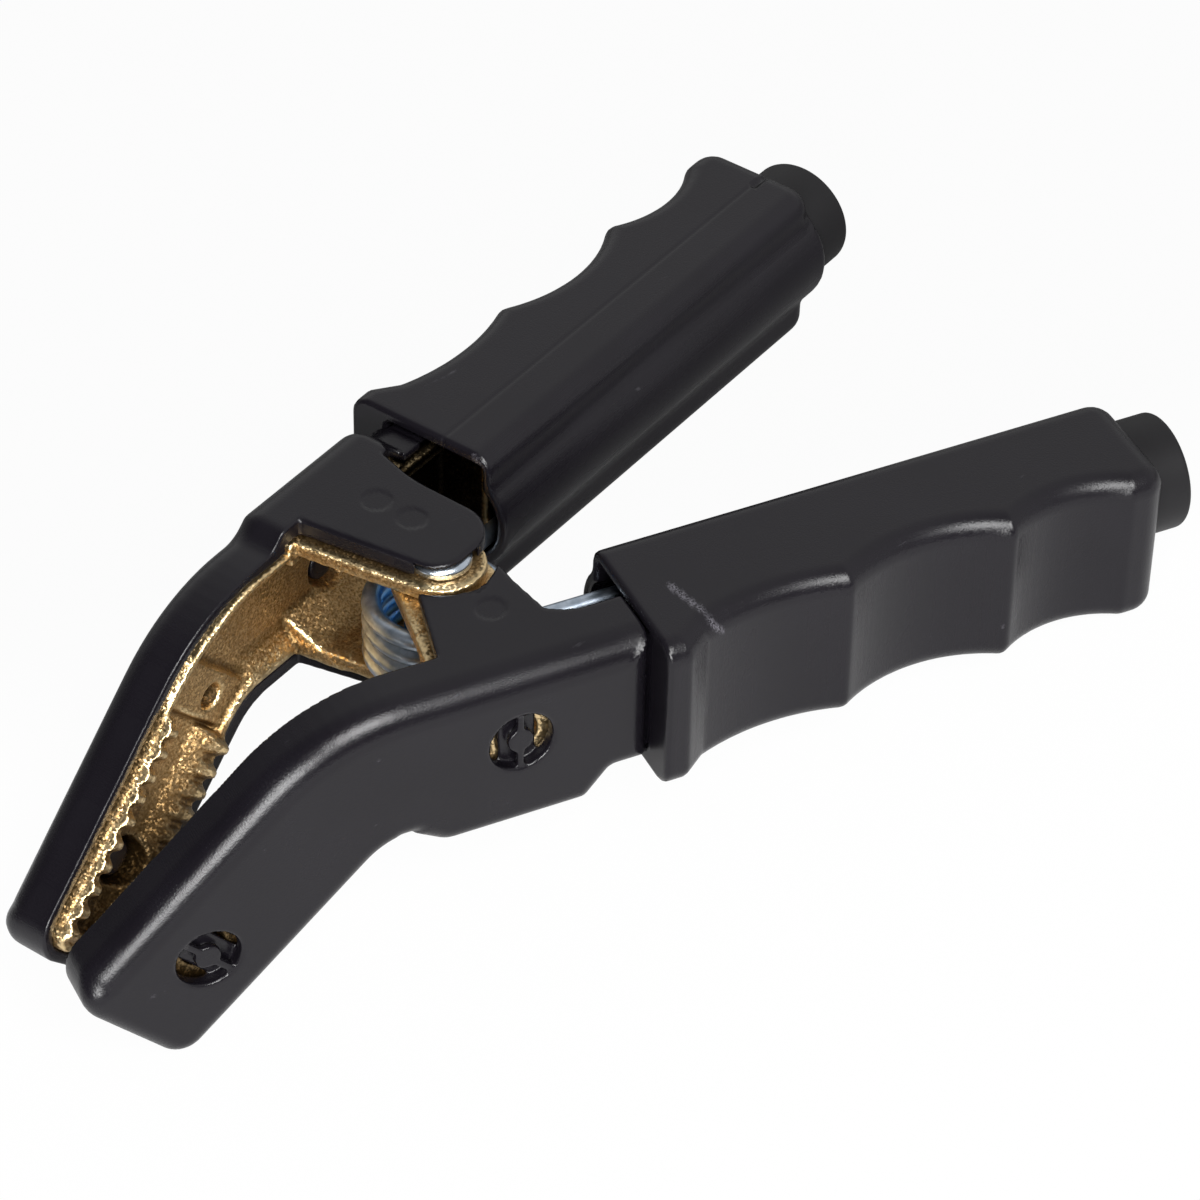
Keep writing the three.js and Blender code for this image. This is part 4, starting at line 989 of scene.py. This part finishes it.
def grip_field(side):
    low, high = (22.0, 2.5, -17.0), (120.5, 38.5, 16.5)
    X, Y, Z = block_grid(low, high, GRIP_STEP)
    # the outline starts in front of the mouth, where the solid is then cut off square
    lead = HANDLE_FRONT - GRIP_LEAD
    rear_y = CRESTS[-1][1]
    r = CREST_ROUND
    corner = REAR_CORNER - r
    outer = rounded([
        (lead, HANDLE_INNER_Y + r), (HANDLE_REAR - r, HANDLE_INNER_Y + r, corner),
        (HANDLE_REAR - r, rear_y - r, corner), *reversed(grip_line(r)), (lead, FLANGE_Y - r)])
    plan = from_outline(outer, X, Y) - r
    solid = meet(plan, slab(Z, HANDLE_BOTTOM, HANDLE_TOP), HANDLE_EDGE)
    bulge = np.hypot(Y - BULGE_Y, Z - BULGE_Z)
    solid = join(solid, meet(bulge - BULGE_RADIUS, X - HANDLE_REAR, BULGE_ROUND), BULGE_FILLET)
    solid = meet(solid, HANDLE_FRONT - X, FLANGE_EDGE)
    inner = rounded([
        (lead, HANDLE_INNER_Y + HANDLE_INNER_WALL),
        (HANDLE_REAR, HANDLE_INNER_Y + HANDLE_INNER_WALL),
        (HANDLE_REAR, rear_y - HANDLE_WALL), *reversed(grip_line(HANDLE_WALL)),
        (lead, FLANGE_Y - HANDLE_WALL)])
    cavity = meet(from_outline(inner, X, Y),
                  slab(Z, HANDLE_BOTTOM + HANDLE_WALL, HANDLE_TOP - HANDLE_WALL), CAVITY_ROUND)
    # the mouth is narrower than the hollow behind it, so that it holds the cover's neck
    cavity = meet(cavity, MOUTH_DEPTH - X)
    cavity = join(cavity, brick(X, Y, Z, *MOUTH, MOUTH_EDGE))
    cavity = join(cavity, bulge - BULGE_BORE)
    solid = cut(solid, meet(cavity, X - CAVITY_REAR), CAVITY_EDGE)
    seat = np.hypot(Y - BULGE_Y, Z - OUTLET_Z) - OUTLET_RADIUS - SEAT_ROOM
    solid = cut(solid, meet(seat, CAVITY_REAR - X), SEAT_EDGE)
    # a moulding seam runs along one face, with a notch near the handle's end
    from_seam = np.abs(Y - SEAM_Y)
    seam = SEAM_DEPTH * smooth_step(SEAM_HALF - from_seam, 0, SEAM_HALF)
    notch = meet(slab(X, *SEAM_NOTCH), from_seam - SEAM_NOTCH_HALF) < 0
    mark = np.maximum(seam, SEAM_NOTCH_DEPTH * notch) * (Z * side > HANDLE_TOP - MARK_REACH)
    return solid + mark, low


def grip_marks(points, side):
    """How pale each point is: 1 on its arm's listed lines, 0 beyond their half width."""
    marked = np.zeros(len(points))
    for half_width, *line in PALE_MARKS[side]:
        for a, b in zip(np.array(line[:-1]), np.array(line[1:])):
            t = np.clip((points - a) @ (b - a) / ((b - a) @ (b - a)), 0, 1)
            away = np.linalg.norm(points - a - t[:, None] * (b - a), axis=1)
            marked = np.maximum(marked, 1 - smooth_step(away, half_width * 0.4, half_width))
    return {"scuffed": marked}


grip_nylon = nylon_material("nylon_moulded_matt", "#0f0d11", "#141217", 0.29, 0.35)
both_arms("grip", grip_field, GRIP_STEP, grip_nylon, "black_grip", "handle_grip", grip_marks)

# ---- cable sleeves ----
# A plain black rubber sleeve, moulded in one piece, is pushed into a round seat in each handle's
# end and stands out of it where the cable goes in.
SLEEVE_FRONT, SLEEVE_REAR, SLEEVE_ROUND = 98.3, 126.7, 0.9
OUTLET_BORE = 7.8


def rubber_material():
    """Moulded rubber, matt: a soft even sheen with fine dust in its skin, drawn coarser than it
    is, so that it shows."""
    material, tree, where = new_material("rubber_moulded_matt")
    DUST_MM, CLOUD_MM = 0.5, 9.0
    dust = node(tree, "TexNoise", {
        "Vector": where, "Scale": 1 / (DUST_MM * MM), "Detail": 4.0, "Roughness": 0.6})
    cloud = node(tree, "TexNoise", {"Vector": where, "Scale": 1 / (CLOUD_MM * MM), "Detail": 3.0})
    colour = node(tree, "Mix", {0: cloud, 6: "#0f0e10", 7: "#151416"}, data_type="RGBA")
    bump = node(tree, "Bump", {"Height": dust, "Strength": 0.25, "Distance": 0.06 * MM})
    shader = node(tree, "BsdfPrincipled", {
        "Base Color": colour, "Roughness": 0.5, "IOR": 1.5, "Specular IOR Level": 0.3,
        "Normal": bump})
    node(tree, "OutputMaterial", {"Surface": shader})
    return material


rubber = rubber_material()
edge_turns = np.linspace(0, math.pi / 2, 7)
rounded_end = [(OUTLET_RADIUS - SLEEVE_ROUND * (1 - math.cos(a)),
                SLEEVE_REAR - SLEEVE_ROUND * (1 - math.sin(a))) for a in edge_turns]
inner_end = [(OUTLET_BORE + SLEEVE_ROUND / 2 * (1 - math.cos(a)),
              SLEEVE_REAR - SLEEVE_ROUND / 2 * (1 - math.sin(a))) for a in edge_turns[::-1]]
sleeve_points, sleeve_faces = turned([
    (OUTLET_BORE, SLEEVE_FRONT), (OUTLET_RADIUS, SLEEVE_FRONT), *rounded_end, *inner_end])
# the sleeve is turned about z and then laid along the handle
sleeve_points = sleeve_points[:, [2, 0, 1]] + np.array([0, BULGE_Y, OUTLET_Z])
for side, arm in ARM_NAMES.items():
    sleeve = mesh_object(f"{arm}_sleeve", sleeve_points, sleeve_faces, arm_axes(side), rubber,
                         sharp=50)
    fitted(sleeve, f"{arm}_arm", "black_rubber", f"{arm}_cable_sleeve")

# ---- floor and light ----
# A white table in a room that is dimmer behind the jaws than behind the handles, with one broad
# lamp high in front and a smaller one low at the left. Behind the clamp the table's colour is
# grey: painted shade. The lens sees table and room nearly white with a faint shadow, and a
# little of that white lies over what the surfaces mirror.
FLOOR_HALF = 3.0
SHADOW_SEEN = 0.035
WHITE_MIRRORED = 0.05
# where the table's painted shade begins and where it is full, behind the clamp
BEHIND, SHADE_PAINTED_FROM, SHADE_PAINTED_TO = (0.5, 0.87, 0.0), 0.0, 0.045
ROOM_DARK, ROOM_LIGHT = 0.0, 0.62
TO_LIGHT_SIDE = (0.97, 0.24, 0.0)


def white_share(tree):
    """How much plain white a ray sees in place of the lit table or room."""
    path = node(tree, "LightPath")
    mirrored = node(tree, "Math", {
        0: path.outputs["Is Glossy Ray"], 1: path.outputs["Is Transmission Ray"]},
        operation="MAXIMUM")
    mirrored = node(tree, "Math", {0: mirrored, 1: WHITE_MIRRORED}, operation="MULTIPLY")
    seen = node(tree, "Math", {
        0: path.outputs["Is Camera Ray"], 1: 1 - SHADOW_SEEN, 2: mirrored},
        operation="MULTIPLY_ADD")
    return seen


def floor_material():
    """White table laminate, faintly mottled. Behind the clamp its colour turns grey, as painted
    shade.
    """
    material, tree, where = new_material("table_white_laminate")
    mottle = node(tree, "TexNoise", {"Vector": where, "Scale": 20.0})
    colour = node(tree, "Mix", {0: mottle, 6: "#c9c9c9", 7: "#c4c4c4"}, data_type="RGBA")
    # painted shade: the table goes grey behind the clamp
    behind = node(tree, "VectorMath", {0: where, 1: BEHIND}, operation="DOT_PRODUCT")
    floor_shade_painted = node(tree, "MapRange", {
        "Value": behind, "From Min": SHADE_PAINTED_FROM, "From Max": SHADE_PAINTED_TO})
    colour = node(tree, "Mix", {0: floor_shade_painted, 6: colour, 7: "#6c6c6c"}, data_type="RGBA")
    lit = node(tree, "BsdfDiffuse", {"Color": colour})
    bright = node(tree, "Emission", {"Color": "#ffffff"})
    mixed = node(tree, "MixShader", {0: white_share(tree), 1: lit, 2: bright})
    node(tree, "OutputMaterial", {"Surface": mixed})
    return material


floor_mesh = bpy.data.meshes.new("floor")
h = FLOOR_HALF
floor_mesh.from_pydata([(-h, -h, 0), (h, -h, 0), (h, h, 0), (-h, h, 0)], [], [(0, 1, 2, 3)])
floor_mesh.materials.append(floor_material())
floor = bpy.data.objects.new("floor", floor_mesh)
scene.collection.objects.link(floor)

world = bpy.data.worlds.new("studio")
scene.world = world
world.use_nodes = True
room = world.node_tree
room.nodes.clear()
direction = node(room, "TexCoord").outputs["Generated"]
towards = node(room, "VectorMath", {
    0: direction, 1: tuple(np.array(TO_LIGHT_SIDE) @ PIVOT_AXES)}, operation="DOT_PRODUCT")
level = node(room, "MapRange", {
    "Value": towards, "From Min": -0.55, "From Max": 0.6,
    "To Min": ROOM_DARK, "To Max": ROOM_LIGHT}, interpolation_type="SMOOTHSTEP")
sky = node(room, "Background", {"Color": "#ffffff", "Strength": level})
white = node(room, "Background", {"Color": "#ffffff"})
seen_room = node(room, "MixShader", {0: white_share(room), 1: sky, 2: white})
node(room, "OutputWorld", {"Surface": seen_room})


def put(thing, point, axes):
    """Puts a lamp or lens at a point, with its own x, y and z given as rows."""
    turn = Matrix(np.array(axes).T.tolist()).to_4x4()
    thing.matrix_world = Matrix.Translation(point.tolist()) @ turn
    scene.collection.objects.link(thing)


def softbox(name, direction, distance, size, watts):
    """A square lamp that faces the pivot from a direction in the pivot's own axes, in metres."""
    back = np.array(direction, float) @ PIVOT_AXES
    back /= np.linalg.norm(back)
    lamp = bpy.data.lights.new(name, "AREA")
    lamp.shape, lamp.size, lamp.energy = "SQUARE", size, watts
    box = bpy.data.objects.new(name, lamp)
    box.visible_camera = False
    across = np.cross((0, 0, 1.0), back)
    across /= np.linalg.norm(across)
    put(box, PIVOT + back * distance, [across, np.cross(back, across), back])


softbox("key", (-0.2, -0.66, 0.73), 1.7, 0.8, 34)
softbox("left", (-0.72, -0.62, 0.31), 1.5, 0.6, 27)

# ---- camera ----
# A long lens looks down on the clamp from the side of the near arm. Its place is given from the
# pivot, in millimetres along the pivot's own axes.
LENS_MM = 150.03
VIEW_HEIGHT = math.radians(41.032)
VIEW_TURN = math.radians(-40.424)
VIEW_ROLL = math.radians(1.358)
DISTANCE = 816.384
AIM_RIGHT, AIM_UP, PIVOT_OFFSET = 26.980, 4.151, 1.3

back = np.array([math.sin(VIEW_TURN) * math.cos(VIEW_HEIGHT),
                 -math.cos(VIEW_TURN) * math.cos(VIEW_HEIGHT), math.sin(VIEW_HEIGHT)])
level = np.array([math.cos(VIEW_TURN), math.sin(VIEW_TURN), 0])
upright = np.cross(back, level)
right = math.cos(VIEW_ROLL) * level + math.sin(VIEW_ROLL) * upright
up = math.cos(VIEW_ROLL) * upright - math.sin(VIEW_ROLL) * level
place = back * DISTANCE + AIM_RIGHT * right + AIM_UP * up - np.array([PIVOT_OFFSET, 0, 0])
camera = bpy.data.cameras.new("camera")
camera.lens = LENS_MM
camera.sensor_width = 36.0
camera.clip_end = 20.0
view = bpy.data.objects.new("camera", camera)
put(view, PIVOT + place @ PIVOT_AXES * MM, np.array([right, up, back]) @ PIVOT_AXES)
scene.camera = view
scene.view_settings.view_transform = "Standard"
